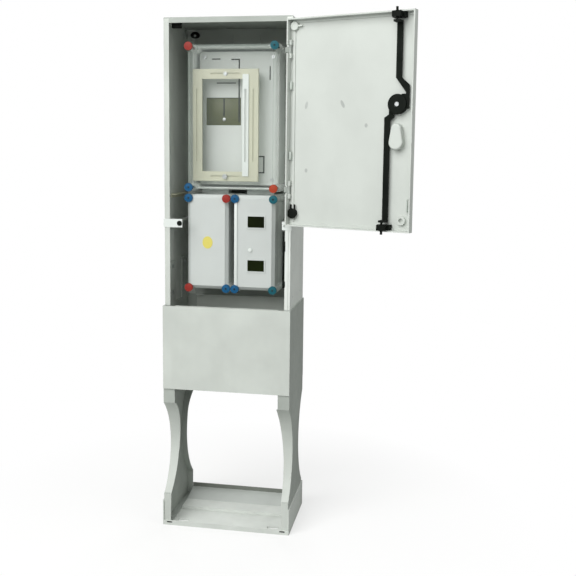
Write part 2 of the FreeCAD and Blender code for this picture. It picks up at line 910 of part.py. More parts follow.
# Box cover: a bevelled moulded lid with the same screw towers
def box_cover(plan):
    made = Piece(plan.name + "_box_cover")
    face = front + cover_face
    rim_y = joint_plane
    made.pad("XZ_Plane", face, rim_y, plan.outline(0))
    made.chamfer(bevel, lambda e: in_face(e, "Y", face))
    made.pocket("XZ_Plane", face + cover_wall, rim_y, plan.outline(bevel))
    made.pocket("XZ_Plane", face + bevel + cover_wall, rim_y, plan.outline(cover_wall))
    seat = face + knob_height / 3
    made.pad("XZ_Plane", seat, rim_y, *plan.circles(knob_radius))
    made.pocket("XZ_Plane", seat, rim_y, *plan.circles(stem_radius))
    made.pocket("XZ_Plane", face, seat, *plan.circles(knob_radius + fit_gap))
    if plan is right_plan:
        for z in (window_low, window_high):
            low_x = window_left
            high_x = window_left + window_width
            frame = rectangle(low_x - wall, high_x + wall, z - wall, z + window_height + wall)
            made.pad("XZ_Plane", face - rail_sheet, face + cover_wall, frame)
            hole = rectangle(low_x, high_x, z, z + window_height)
            made.pocket("XZ_Plane", face - rail_sheet, face + cover_wall, hole)
    keep(plan.name + "_box_cover", made)


# Cover seal: a thin ring between lid and base, round inside the screw towers
def cover_seal(plan):
    made = Piece(plan.name + "_cover_seal")
    made.pad("XZ_Plane", joint_plane, joint_plane + seal_line, plan.outline(0))
    made.pocket("XZ_Plane", joint_plane, joint_plane + seal_line, plan.outline(cover_wall))
    made.pad("XZ_Plane", joint_plane, joint_plane + seal_line, *plan.circles(knob_radius))
    made.pocket("XZ_Plane", joint_plane, joint_plane + seal_line, *plan.circles(stem_radius))
    return made.body


# Cover screws: a round head with a wing across it and a stem into the base
def cover_screws(label, places):
    made = []
    face = front + cover_face + knob_height / 3
    for x, z in places:
        head = cylinder("y", knob_radius, x, face - knob_height, z, knob_height)
        stem = cylinder("y", stem_radius, x, face, z, cover_depth + rail_width / 2)
        low = face - knob_height
        middle = low + knob_height / 2
        left = block(x - knob_radius, x - wing / 2, low, middle, z - knob_radius, z + knob_radius)
        right = block(x + wing / 2, x + knob_radius, low, middle, z - knob_radius, z + knob_radius)
        ring = cylinder("y", knob_radius - wing / 2, x, low, z, knob_height / 2)
        sides = doc.addObject("Part::MultiCommon", "Shared")
        sides.Shapes = [fuse(left, right), ring]
        made.append(fuse(cut(head, sides), stem))
    keep(label, group(made))


# Coupling: a short rectangular duct that joins two boxes
def coupling(label, plan):
    made = Piece(label)
    hole = passages(plan)[0]
    low_x, low_y = hole[0]
    high_x, high_y = hole[2]
    shell = rectangle(low_x - wall, high_x + wall, low_y - wall, high_y + wall)
    made.pad("XY_Plane", lower_top, meter_bottom, shell)
    made.pocket("XY_Plane", lower_top, meter_bottom, hole)
    return made.body


def grommets():
    made = []
    middle_y = (joint_plane + box_rear) / 2
    for plan in (left_plan, right_plan):
        for x in entry_places(plan):
            collar = cylinder("z", entry_radius + rail_sheet, x, middle_y, plan.low - wall, wall)
            plug = cylinder("z", entry_radius, x, middle_y, plan.low, box_wall)
            lip = cylinder("z", entry_radius + rail_sheet, x, middle_y, plan.low + box_wall, rail_sheet)
            dimple = cylinder("z", entry_radius - wall, x, middle_y, plan.low - wall, wall)
            made.append(cut(fuse(collar, plug, lip), dimple))
    keep("cable_grommets", group(made))


# Meter board: the plate behind the meter frame, with its wiring window
def meter_board():
    made = Piece("meter_board")
    y_low = front + board_depth
    made.pad("XZ_Plane", y_low, y_low + board_sheet, meter_plan.outline(board_inset))
    made.fillet(board_inset, lambda e: not in_face(e, "Y", y_low) and near(e.BoundBox.YMin, y_low))
    window_top = board_window_low + board_window_high
    window = rectangle(frame_bar - frame_left, board_window, board_window_low, window_top)
    made.pocket("XZ_Plane", y_low, y_low + board_sheet, window)
    made.pocket("XZ_Plane", y_low, y_low + board_sheet, *board_holes())
    keep("meter_board", made)


def board_places():
    """X and z of the four towers on the back of the meter box that carry the board."""
    inset = board_inset + rim
    xs = (meter_plan.left + inset, meter_plan.right - inset)
    zs = (meter_plan.low + inset, meter_plan.high - inset)
    return [(x, z) for x in xs for z in zs]


def board_posts():
    return [Circle(x, z, rim / 2) for x, z in board_places()]


def board_holes():
    return [Circle(x, z, screw_radius) for x, z in board_places()]


# Meter frame: a moulded bar frame on four posts, slotted for the meter's fixing screws
def meter_frame():
    made = Piece("meter_frame")
    y_low = front + frame_depth
    y_high = y_low + frame_thick
    made.pad("XZ_Plane", y_low, y_high, rectangle(-frame_left, frame_right, frame_bottom, frame_top))
    inner = rectangle(
        frame_bar - frame_left, frame_right - frame_bar, frame_bottom + frame_bar, frame_top - frame_bar
    )
    made.pocket("XZ_Plane", y_low, y_high, inner)
    posts = []
    for x in (frame_bar / 2 - frame_left, frame_right - frame_bar / 2):
        for z in (frame_bottom + frame_bar / 2, frame_top - frame_bar / 2):
            posts.append(Circle(x, z, frame_bar / 4))
    made.pad("XZ_Plane", y_low, front + board_depth, *posts)
    middle = (frame_right - frame_left) / 2
    grooves = [
        slot(middle, frame_top - frame_bar / 2, rail_spread / 2, screw_radius),
        slot(middle, frame_bottom + frame_bar / 2, rail_spread / 2, screw_radius),
    ]
    made.pocket("XZ_Plane", y_low, y_high, *grooves)
    upright_slots = []
    for x in (frame_bar / 2 - frame_left, frame_right - frame_bar / 2):
        low_z = frame_bottom + frame_bar * 2
        high_z = frame_top - frame_bar * 2
        upright_slots.append(stadium(x, low_z, high_z, screw_radius))
    made.pocket("XZ_Plane", y_low, y_high, *upright_slots)
    made.fillet(rail_sheet, lambda e: in_face(e, "Y", y_low) and outer_side(e))
    keep("meter_frame", made)


def outer_side(edge):
    """True for an edge that reaches the left or right side of the meter frame."""
    return near(edge.BoundBox.XMin, -frame_left) or near(edge.BoundBox.XMax, frame_right)


# Meter slider: the upright bar that clamps a meter between itself and the frame's left bar
def meter_slider():
    made = Piece("meter_slider")
    y_low = front + frame_depth - wall
    right = frame_right - frame_bar - fit_gap
    left = right - frame_bar / 2 - wall
    made.pad("XZ_Plane", y_low, y_low + wall, rectangle(left, right, frame_bottom + rim, frame_top - rim))
    groove_low = frame_bottom + frame_bar * 2
    groove_high = frame_top - frame_bar * 2
    groove = stadium((left + right) / 2, groove_low, groove_high, screw_radius)
    made.pocket("XZ_Plane", y_low, y_low + wall, groove)
    keep("meter_slider", made)


# Clamp screws of the meter frame: one knob on the lower bar, one small screw on the window bar
def frame_screws():
    y_low = front + frame_depth
    middle = (frame_right - frame_left) / 2
    z = frame_bottom + frame_bar / 2
    knob = cylinder("y", frame_bar / 4, middle, y_low - wall * 2, z, wall * 2)
    stem = cylinder("y", screw_radius, middle, y_low, z, frame_thick)
    upper = cylinder("y", screw_head, middle, y_low - screw_radius, frame_top - frame_bar / 2, screw_radius)
    shank = cylinder("y", screw_radius, middle, y_low, frame_top - frame_bar / 2, frame_thick)
    made = [fuse(knob, stem), fuse(upper, shank)]
    places = [(x, front + board_depth, z) for x, z in board_places()]
    made += screws(places, "y", -1, board_sheet, screw_radius, screw_head, head_height)
    keep("frame_screws", group(made))


# Terminal block of the left box: a moulded row of cable pockets on a foot
def terminal_block():
    made = Piece("terminal_block")
    rear = box_rear - box_wall
    middle = (left_plan.left + left_plan.right) / 2
    low_z = (lower_bottom + lower_top) / 2 - terminal_high / 2
    outline = rectangle(middle - terminal_half, middle + terminal_half, low_z, low_z + terminal_high)
    made.pad("XZ_Plane", rear - terminal_deep, rear, outline)
    pitch_x = terminal_half * 2 / TERMINALS
    pockets = []
    for i in range(TERMINALS):
        x = middle - terminal_half + pitch_x * (i + 0.5)
        for z in (low_z + terminal_high / 4, low_z + terminal_high * 3 / 4):
            pockets.append(Circle(x, z, terminal_bore))
    made.pocket("XZ_Plane", rear - terminal_deep, rear - terminal_deep / 2, *pockets)
    grooves = []
    for i in range(1, TERMINALS):
        x = middle - terminal_half + pitch_x * i
        groove_x = (x - rail_sheet / 2, x + rail_sheet / 2)
        grooves.append(rectangle(*groove_x, low_z + rail_sheet, low_z + terminal_high - rail_sheet))
    made.pocket("XZ_Plane", rear - terminal_deep, rear - terminal_deep + wall, *grooves)
    keep("terminal_block", made)
    heads = []
    face = rear - terminal_deep * 3 / 4
    for i in range(TERMINALS):
        x = middle - terminal_half + pitch_x * (i + 0.5)
        for z in (low_z + terminal_high / 4, low_z + terminal_high * 3 / 4):
            head = cylinder("y", terminal_bore, x, face, z, terminal_deep / 4)
            driver_x = (x - terminal_bore / 8, x + terminal_bore / 8)
            driver = block(*driver_x, face, face + 1, z - terminal_bore, z + terminal_bore)
            heads.append(cut(head, driver))
    keep("terminal_screws", group(heads))


# Top-hat rail of the right box, behind a window
def din_rail(label, z):
    made = Piece(label)
    base = box_rear - box_wall - din_post
    mid = din_width / 2
    foot = mid - din_lip
    points = [
        (base - din_deep, z - mid),
        (base - din_deep, z - foot),
        (base - din_sheet, z - foot),
        (base - din_sheet, z + foot),
        (base - din_deep, z + foot),
        (base - din_deep, z + mid),
        (base - din_deep + din_sheet, z + mid),
        (base - din_deep + din_sheet, z + foot + din_sheet),
        (base, z + foot + din_sheet),
        (base, z - foot - din_sheet),
        (base - din_deep + din_sheet, z - foot - din_sheet),
        (base - din_deep + din_sheet, z - mid),
    ]
    made.pad("YZ_Plane", right_plan.left + rim, right_plan.right - rim, list(reversed(points)))
    return made.body


def din_posts():
    """Towers on the back of the right box that carry the two rails."""
    made = []
    for z in (window_low + window_height / 2, window_high + window_height / 2):
        for x in (right_plan.left + rim * 2, right_plan.right - rim * 2):
            made.append(Circle(x, z, rim / 2))
    return made


# Cable rail across the pedestal, and the saddles that hold the cables on it
def cable_rail():
    made = Piece("cable_rail")
    web = outer - wall
    c_channel(made, "YZ_Plane", cable_rail_height, -web, web, 0, rail_width * 2 / 3, rail_width / 4)
    keep("cable_rail", made)
    saddles = []
    for i in (-1, 0, 1):
        x = saddle_pitch * i
        low_z = cable_rail_height - rail_width / 2
        body = block(x - saddle_half, x + saddle_half, -saddle_half, 0, low_z, low_z + rail_width)
        groove = cylinder("z", cable_radius, x, -saddle_half, low_z - 1, rail_width + 2)
        saddles.append(cut(body, groove))
    keep("cable_saddles", group(saddles))


def vent_plugs():
    made = []
    y = rear_face - rail_width
    z = top - vent_radius - wall * 2
    for side in (-1, 1):
        face = half - wall
        low, high = sided(side, face - wall, face)
        disc = cylinder("x", vent_radius, low, y, z, wall)
        dish_low = low if side > 0 else low + wall / 2
        dish = cylinder("x", dish_radius, dish_low, y, z, wall / 2)
        made.append(cut(disc, dish))
    keep("vent_plugs", group(made))


def swing(target):
    """Turns a door piece about the hinge, from closed to the open rest position."""
    target.setExpression(
        "Placement",
        "create(<<placement>>; create(<<vector>>; 0; 0; 0);"
        " create(<<rotation>>; create(<<vector>>; 0; 0; 1); %s);"
        " create(<<vector>>; %s; %s; 0))" % (open_angle.text, hinge_x.text, hinge_y.text),
    )


# Hinge bracket: a cast arm on the side wall that reaches round the rim to its barrel
def hinge_bracket(label, z):
    low = z - arm_half
    height = arm_half * 2
    barrel = cylinder("z", barrel_radius, hinge_x, hinge_y, z - barrel_half, barrel_half * 2)
    corner_x = hinge_x - hinge_front
    arm = doc.addObject("Part::Box", "Block")
    arm.Placement = FreeCAD.Placement(FreeCAD.Vector(0, 0, 0), FreeCAD.Rotation(FreeCAD.Vector(0, 0, 1), 135))
    bind(arm, "Length", hinge_front * math.sqrt(2))
    bind(arm, "Width", wall)
    bind(arm, "Height", height)
    half_wide = wall / (2 * math.sqrt(2))
    place(arm, hinge_x + half_wide, hinge_y + half_wide, low)
    corner = cylinder("z", wall / 2, corner_x, hinge_y + hinge_front, low, height)
    straight = block(corner_x - wall / 2, corner_x + wall / 2, front, front + bracket_tail, low, low + height)
    face = half - wall
    cross_y = front + bracket_tail
    cross = block(corner_x - wall / 2, face, cross_y, cross_y + wall, low, low + height)
    foot_z = (low - arm_half, low + height + arm_half)
    foot = block(face - wall, face, front + bracket_tail, front + bracket_tail * 2, *foot_z)
    body = fuse(barrel, arm, corner, straight, cross, foot)
    bore = cylinder("z", pin_radius, hinge_x, hinge_y, z - barrel_half, barrel_half * 2)
    keep(label, cut(body, bore))


def hinge_pins():
    made = []
    long = barrel_half + ear_height + fit_gap
    for z in (hinge_low, hinge_high):
        made.append(cylinder("z", pin_radius, hinge_x, hinge_y, z - long, long * 2))
    keep("hinge_pins", group(made))


# Door: a moulded pan with ears for the hinge pins and a hole and a pocket for the handle
def door():
    made = Piece("door")
    made.pad("XZ_Plane", door_face, door_back, rectangle(door_left, door_right, door_low, door_high))
    made.fillet(door_skin + 1, lambda e: in_face(e, "Y", door_face))
    inner = rectangle(door_left + wall, door_right - wall, door_low + wall, door_high - wall)
    made.pocket("XZ_Plane", skin_back, door_back, inner)
    reach = barrel_half + fit_gap
    bore = Circle(hinge_x, hinge_y, pin_radius + pin_clearance)
    for z in (hinge_low, hinge_high):
        notch = rectangle(hinge_x - barrel_radius, door_right + 1, z - reach, z + reach)
        made.pocket("XZ_Plane", hinge_y - barrel_radius - rail_sheet, door_back, notch)
        for low in (z + reach, z - reach - ear_height):
            ear = rectangle(hinge_x - barrel_radius - 1, door_right, low, low + ear_height)
            made.pad("XZ_Plane", skin_back - 1, hinge_y + barrel_radius, ear)
            made.pocket("XY_Plane", low, low + ear_height, bore)
    made.pocket("XZ_Plane", door_face, skin_back, Circle(lock_x, lock_height, spindle + fit_gap))
    made.pocket("XZ_Plane", door_face, skin_back, pocket_hollow())
    boss = Circle(hinge_x - boss_along, boss_height, boss_radius)
    made.pad("XZ_Plane", skin_back, skin_back + boss_rise, boss)
    made.pocket("XZ_Plane", skin_back, skin_back + boss_rise, Circle(boss.u, boss.v, boss_radius / 2))
    swing(keep("door", made))


# Door seal: a foam strip round the inside of the door
def door_seal():
    made = Piece("door_seal")
    right = hinge_x - barrel_radius - rail_sheet
    low_x = door_left + wall
    top_inside = door_high - wall
    low_inside = door_low + wall
    outline = rectangle(low_x, right, low_inside, top_inside)
    made.pad("XZ_Plane", skin_back, skin_back + seal_thick, outline)
    inner_x = (low_x + seal_width, right - seal_width)
    inner = rectangle(*inner_x, low_inside + seal_width, top_inside - seal_width)
    made.pocket("XZ_Plane", skin_back, skin_back + seal_thick, inner)
    recesses = [Circle(clip_x, z, clip_radius + fit_gap) for z in (clip_low, clip_high)]
    made.pocket("XZ_Plane", skin_back, skin_back + seal_thick, *recesses)
    swing(keep("door_seal", made))


def pocket_hollow():
    """The opening that the fingers reach through, in the plate, the door and the dome."""
    return egg(lock_x, pocket_low + wall, pocket_high - wall, pocket_half - wall, pocket_top - wall)


# Hinge clip: a round boss with two prongs that keeps a hinge pin from working out
def hinge_clip(label, z):
    made = Piece(label)
    high = skin_back + clip_thick
    made.pad("XZ_Plane", skin_back, high, Circle(clip_x, z, clip_radius))
    made.fillet(rail_sheet, lambda e: in_face(e, "Y", high))
    low = skin_back + clip_thick / 2
    prongs = []
    for side in (-1, 1):
        middle = clip_x + side * clip_radius / 2
        prongs.append(rectangle(middle - wall / 2, middle + wall / 2, z, z + clip_prong))
    if label.startswith("upper"):
        prongs = [rectangle(clip_x - clip_prong, clip_x, z - wall / 2, z + wall / 2)]
    made.pad("XZ_Plane", low, high - rail_sheet / 2, *prongs)
    swing(keep(label, made))


# Handle pocket: the dome on the inside of the door that gives the fingers room
def handle_pocket():
    made = Piece("handle_pocket")
    outline = egg(lock_x, pocket_low, pocket_high, pocket_half, pocket_top)
    made.pad("XZ_Plane", skin_back, skin_back + pocket_deep, outline)
    made.fillet(wall + 1, lambda e: in_face(e, "Y", skin_back + pocket_deep))
    made.pocket("XZ_Plane", skin_back, skin_back + pocket_deep - rail_sheet * 2, pocket_hollow())
    swing(keep("handle_pocket", made))


# Handle plate on the outside of the door
def handle_plate():
    made = Piece("handle_plate")
    high = lock_height + plate_half + wall
    made.pad("XZ_Plane", door_face - plate_thick, door_face, stadium(lock_x, plate_low, high, plate_half))
    made.fillet(plate_thick / 2, lambda e: in_face(e, "Y", door_face - plate_thick))
    made.pocket("XZ_Plane", door_face - plate_thick, door_face, pocket_hollow())
    bore = Circle(lock_x, lock_height, spindle + pin_clearance)
    made.pocket("XZ_Plane", door_face - plate_thick, door_face, bore)
    swing(keep("handle_plate", made))


def involute(base, radius):
    """The polar angle of an involute at a radius."""
    run = math.sqrt(max((radius / base) ** 2 - 1, 0))
    return run - math.atan(run)


def gear_outline(module, teeth, backlash):
    """Corner points of a spur gear with involute flanks, one tooth pointing along +x."""
    pitch_r = module * teeth / 2
    base = pitch_r * math.cos(PRESSURE)
    tip = pitch_r + module * ADDENDUM
    root = pitch_r - module * DEDENDUM
    half_tooth = (math.pi / 2 * module - backlash) / (2 * pitch_r)
    points = []
    start = max(base, root)
    radii = [start + (tip - start) * k / FLANK_STEPS for k in range(FLANK_STEPS + 1)]
    for i in range(teeth):
        middle = 2 * math.pi * i / teeth
        offsets = [half_tooth + involute(base, pitch_r) - involute(base, r) for r in radii]
        flank = [(root, offsets[0])] + list(zip(radii, offsets))
        for r, off in flank:
            points.append((r * math.cos(middle - off), r * math.sin(middle - off)))
        for r, off in reversed(flank):
            points.append((r * math.cos(middle + off), r * math.sin(middle + off)))
    return points


def rack_teeth(module, low, high, phase):
    """Corner points of a rack's toothed edge from low to high; x is measured from the pitch line."""
    step = math.pi * module
    top_half = step / 4 - BACKLASH / 2 - module * ADDENDUM * math.tan(PRESSURE)
    foot_half = step / 4 - BACKLASH / 2 + module * DEDENDUM * math.tan(PRESSURE)
    points = []
    count = int((low - phase) / step) - 1
    while phase + count * step + foot_half < high:
        middle = phase + count * step
        if middle - foot_half > low:
            points.append((-module * DEDENDUM, middle - foot_half))
            points.append((module * ADDENDUM, middle - top_half))
            points.append((module * ADDENDUM, middle + top_half))
            points.append((-module * DEDENDUM, middle + foot_half))
        count += 1
    return points


def plate_solid(points, y_low, y_high):
    """A flat solid from x, z corner points between two y levels."""
    corners = [FreeCAD.Vector(x, y_low, z) for x, z in points]
    wire = Part.makePolygon(corners + corners[:1])
    return Part.Face(wire).extrude(FreeCAD.Vector(0, y_high - y_low, 0))


def feature(label, shape):
    """A sub-part whose shape is set from the sheet's sizes, swung with the door."""
    made = doc.addObject("Part::Feature", "Shape")
    made.Shape = shape
    swing(keep(label, made))


# Lock gear: a spur pinion between two racks, with journals above and below
def lock_gear():
    x, z = lock_x.number, lock_height.number
    outline = [(x + u, z + v) for u, v in gear_outline(gear_module.number, gear_teeth, BACKLASH)]
    y_low, y_high = rod_low.number, rod_high.number
    gear = plate_solid(outline, y_low, y_high)
    along = FreeCAD.Vector(0, 1, 0)
    below = y_low - skin_back.number
    journal = Part.makeCylinder(spindle.number, below, FreeCAD.Vector(x, skin_back.number, z), along)
    above = case_plate.number + fit_gap.number + 1
    upper = Part.makeCylinder(journal_radius.number, above, FreeCAD.Vector(x, y_high, z), along)
    square = spindle.number
    hole = Part.makeBox(
        square, below + rod_thick.number + above, square,
        FreeCAD.Vector(x - square / 2, skin_back.number, z - square / 2),
    )
    feature("lock_gear", gear.fuse([journal, upper]).removeSplitter().cut(hole))


def tip_pin(x, z_low, z_high):
    """The round pin at a rod's end, out in front of the bar."""
    return Part.makeCylinder(
        tip_radius.number, z_high - z_low, FreeCAD.Vector(x, tip_y.number, z_low), FreeCAD.Vector(0, 0, 1)
    )


def crank(x_low, x_high, z_low, z_high):
    """The bent end of a rod that carries its pin."""
    deep = tip_y.number + tip_radius.number + 1 - rod_low.number
    return Part.makeBox(x_high - x_low, deep, z_high - z_low, FreeCAD.Vector(x_low, rod_low.number, z_low))


# Upper rod: a flat bar with a rack at its foot and a pin at its head. It moves down to open.
def upper_rod():
    x, z = lock_x.number, lock_height.number
    module = gear_module.number
    line = pitch.number
    near_x = upper_rod_side.number - rod_width.number / 2
    far_x = upper_rod_side.number + rod_width.number / 2
    strip_in = line + module * DEDENDUM + rack_width.number
    strip_out = strip_side.number
    low = z - rack_low.number
    high = z + rack_high.number
    head = door_high.number - wall.number - guide_height.number - CRANK_ROOM
    joggle = strip_out - near_x
    teeth = rack_teeth(module, low, high, z + math.pi * module / 2)
    edge = [(line - u, v) for u, v in teeth]
    outline = [(strip_out, low), (line + module * DEDENDUM, low)] + edge
    outline += [
        (line + module * DEDENDUM, high),
        (strip_in, high),
        (strip_in, high + wall.number),
        (near_x, high + wall.number + joggle),
        (near_x, head),
        (far_x, head),
        (far_x, high + wall.number + joggle),
        (strip_out, high + wall.number + joggle / 2),
    ]
    bar = plate_solid([(x - u, v) for u, v in outline], rod_low.number, rod_high.number)
    end = crank(x - far_x, x - near_x, head - CRANK_HIGH, head)
    pin = tip_pin(x - upper_rod_side.number, head, door_high.number + tip_over.number)
    feature("upper_rod", bar.fuse([end, pin]).removeSplitter())


# Lower rod: the same on the other side of the gear. It moves up to open.
def lower_rod():
    x, z = lock_x.number, lock_height.number
    module = gear_module.number
    line = pitch.number
    near_x = lower_rod_side.number - rod_width.number / 2
    far_x = lower_rod_side.number + rod_width.number / 2
    strip_out = line + module * DEDENDUM + rack_width.number
    low = z - rack_high.number
    high = z + rack_low.number
    foot = door_low.number + wall.number + guide_height.number + CRANK_ROOM
    teeth = rack_teeth(module, low, high, z + math.pi * module / 2)
    edge = [(line - u, v) for u, v in teeth]
    outline = [(line + module * DEDENDUM, low)] + edge
    outline += [
        (line + module * DEDENDUM, high),
        (strip_out, high),
        (strip_out, low),
        (far_x, low - rod_width.number / 2),
        (far_x, foot),
        (near_x, foot),
        (near_x, low - rod_width.number),
        (line + module * DEDENDUM - wall.number, low - rod_width.number / 2),
        (line + module * DEDENDUM - wall.number, low),
    ]
    bar = plate_solid([(x + u, v) for u, v in outline], rod_low.number, rod_high.number)
    end = crank(x + near_x, x + far_x, foot, foot + CRANK_HIGH)
    pin = tip_pin(x + lower_rod_side.number, door_low.number - tip_over.number, foot)
    feature("lower_rod", bar.fuse([end, pin]).removeSplitter())


# Lock case: a round boss under the gear with two feet that carry the cover disc
def lock_case():
    made = Piece("lock_case")
    under = rod_low - fit_gap
    made.pad("XZ_Plane", skin_back, under, Circle(lock_x, lock_height, case_radius - 1))
    foot_x = (lock_x - case_foot, lock_x + case_foot)
    near_z = pitch + wall
    far_z = case_radius - wall / 2
    feet = [
        rectangle(*foot_x, lock_height + near_z, lock_height + far_z),
        rectangle(*foot_x, lock_height - far_z, lock_height - near_z),
    ]
    made.pad("XZ_Plane", under, rod_high + fit_gap, *feet)
    made.pocket("XZ_Plane", skin_back, under, Circle(lock_x, lock_height, spindle + pin_clearance))
    swing(keep("lock_case", made))
    cover = Piece("lock_cover")
    low = rod_high + fit_gap
    cover.pad("XZ_Plane", low, low + case_plate, Circle(lock_x, lock_height, case_radius))
    cover.fillet(case_plate / 2, lambda e: in_face(e, "Y", low + case_plate))
    bore = Circle(lock_x, lock_height, journal_radius + pin_clearance)
    cover.pocket("XZ_Plane", low, low + case_plate, bore)
    swing(keep("lock_cover", cover))


# Rod guide: a block on the door's edge return that the rod's pin runs through
def rod_guide(label, x, low, high):
    made = Piece(label)
    y_low = skin_back + seal_thick + fit_gap
    y_high = tip_y + tip_radius + wall
    made.pad("XZ_Plane", y_low, door_back, rectangle(x - guide_width / 2, x + guide_width / 2, low, high))
    if label.startswith("upper"):
        reach_low, reach_high = low, high - fit_gap
    else:
        reach_low, reach_high = low + fit_gap, high
    neck = rectangle(x - guide_width / 3, x + guide_width / 3, reach_low, reach_high)
    made.pad("XZ_Plane", door_back - 1, y_high, neck)
    made.pocket("XY_Plane", low, high, Circle(x, tip_y, tip_radius + pin_clearance))
    swing(keep(label, made))


# Handle: a hub with a lug, and a lever that lifts off the plate before it turns
def handle():
    base_y = door_face - plate_thick - fit_gap
    hub = Piece("handle_hub")
    hub.pad("XZ_Plane", base_y - wall, base_y, Circle(lock_x, lock_height, hub_radius))
    hub.pad("XZ_Plane", base_y - wall, door_face + rail_sheet, Circle(lock_x, lock_height, spindle))
    lug = rectangle(lock_x - lug_half, lock_x + lug_half, lock_height - lug_half, lock_height + lug_half)
    hub.pad("XZ_Plane", base_y - lug_reach, base_y, lug)
    square_z = (lock_height - spindle / 2, lock_height + spindle / 2)
    square = rectangle(lock_x - spindle / 2, lock_x + spindle / 2, *square_z)
    hub.pad("XZ_Plane", door_face, rod_high + case_plate + 1, square)
    pivot_y = base_y - lug_reach + lug_half
    hub.pocket("YZ_Plane", lock_x - lug_half, lock_x + lug_half, Circle(pivot_y, lock_height, pin_radius))
    swing(keep("handle_hub", hub))
    out = lug_half + cheek + fit_gap
    pin = Piece("handle_pin")
    pin.pad("YZ_Plane", lock_x - out, lock_x + out, Circle(pivot_y, lock_height, pin_radius))
    swing(keep("handle_pin", pin))
    lever = Piece("handle_lever")
    lever_low = base_y - lug_reach - rail_sheet
    lever_high = lever_low + lever_thick
    bar = rectangle(lock_x - out, lock_x + out, plate_low + wall, lock_height + lug_half)
    lever.pad("XZ_Plane", lever_low, lever_high, bar)
    lever.fillet(wall / 2, lambda e: in_face(e, "Y", lever_low))
    gap = lug_half + fit_gap
    fork = rectangle(lock_x - gap, lock_x + gap, lock_height - lug_half - lever_thick, lock_height + lug_half)
    lever.pocket("XZ_Plane", lever_low, lever_high, fork)
    bore = Circle(pivot_y, lock_height, pin_radius + pin_clearance)
    lever.pocket("YZ_Plane", lock_x - out, lock_x + out, bore)
    swing(keep("handle_lever", lever))


def pedestal():
    base_tray()
    tongue_holes = leg(-1, "left_leg")
    leg(1, "right_leg")
    pedestal_panel("pedestal_front_panel", panel_face, panel_face + wall, panel_face + rim)
    pedestal_panel("pedestal_rear_panel", rear_face, back - rim, rear_face)
    cable_rail()
    return tongue_holes


def housing(tongue_holes):
    flange_x = half - wall - flange_width / 2
    bolts = [(flange_x, front + depth / 4), (flange_x, back - depth / 4)]
    for side, word in ((-1, "left"), (1, "right")):
        side_wall(side, "lower_%s_side" % word, panel_high, seam, seam - wall, bolts, tongue_holes)
        side_wall(side, "upper_%s_side" % word, seam, top - wall, seam, bolts, [])
    rear_wall("lower_rear_wall", panel_high, seam)
    rear_wall("upper_rear_wall", seam, top - wall)
    roof()
    vent_plugs()
    keep("corner_brackets", group([corner_bracket(side, "bracket") for side in (-1, 1)]))
    cable_ledge()
    rails = [mounting_rail("rail", -rail_spread), mounting_rail("rail", rail_spread)]
    keep("mounting_rails", group(rails))
    places = [(side * x, y, seam + wall) for side in (-1, 1) for x, y in bolts]
    keep("seam_bolts", group(screws(places, "z", 1, wall * 2, bolt_radius, bolt_head, wall)))
    places = []
    for side in (-1, 1):
        for low, high in ((panel_high, seam), (seam, top - wall)):
            places += [(side * rear_screw_x, back, z) for z in rear_screws(low, high)]
    keep("rear_screws", group(screws(places, "y", 1, wall * 2, screw_radius, screw_head, head_height)))
    face = half - wall * 2
    made = []
    for side in (-1, 1):
        places = [(side * face, y, z) for y, z in tongue_holes]
        made += screws(places, "x", -side, wall * 2, screw_radius, screw_head, head_height)
    keep("leg_screws", group(made))


def boxes():
    box_base(meter_plan, front + board_depth + board_sheet, board_posts())
    box_base(left_plan, None, [])
    box_base(right_plan, box_rear - box_wall - din_post, din_posts())
    plans = (meter_plan, left_plan, right_plan)
    for plan in plans:
        box_cover(plan)
    keep("cover_seals", group([cover_seal(plan) for plan in plans]))
    red = [meter_plan.screws[0], meter_plan.screws[3], left_plan.screws[1], left_plan.screws[2]]
    blue = [meter_plan.screws[1], meter_plan.screws[2], left_plan.screws[0], left_plan.screws[3]]
    blue += right_plan.screws
    cover_screws("red_cover_screws", red)
    cover_screws("blue_cover_screws", blue)
    keep("box_couplings", group([coupling("coupling", left_plan), coupling("coupling", right_plan)]))
    grommets()
    meter_board()
    meter_frame()
    meter_slider()
    frame_screws()
    terminal_block()
    rails = [din_rail("rail", low + window_height / 2) for low in (window_low, window_high)]
    keep("top_hat_rails", group(rails))


def door_pieces():
    hinge_bracket("lower_hinge_bracket", hinge_low)
    hinge_bracket("upper_hinge_bracket", hinge_high)
    hinge_pins()
    door()
    door_seal()
    hinge_clip("lower_hinge_clip", clip_low)
    hinge_clip("upper_hinge_clip", clip_high)
    handle_pocket()
    handle_plate()
    lock_gear()
    upper_rod()
    lower_rod()
    lock_case()
    top_inside = door_high - wall
    low_inside = door_low + wall
    rod_guide("upper_rod_guide", lock_x - upper_rod_side, top_inside - guide_height, top_inside)
    rod_guide("lower_rod_guide", lock_x + lower_rod_side, low_inside, low_inside + guide_height)
    handle()


def check_and_write():
    """Stops on any failed object or empty shape, then writes every node."""
    doc.recompute()
    for made in doc.Objects:
        if "Invalid" in made.State or "Error" in made.State:
            raise RuntimeError("%s (%s) did not compute" % (made.Name, made.Label))
    os.makedirs("parts", exist_ok=True)
    for label, made in nodes.items():
        shape = made.Shape
        if shape.isNull() or not shape.isValid() or not shape.Solids:
            raise RuntimeError("%s has no valid solid" % label)
        shape.exportStep(os.path.join("parts", label + ".step"))


housing(pedestal())
boxes()
door_pieces()
check_and_write()
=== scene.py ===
"""Dresses the electric meter cabinet: finishes, small mouldings, light, floor and camera."""

import json
import logging
import math
from dataclasses import dataclass, field
from enum import Enum

import bmesh
import bpy
from mathutils import Matrix, Vector

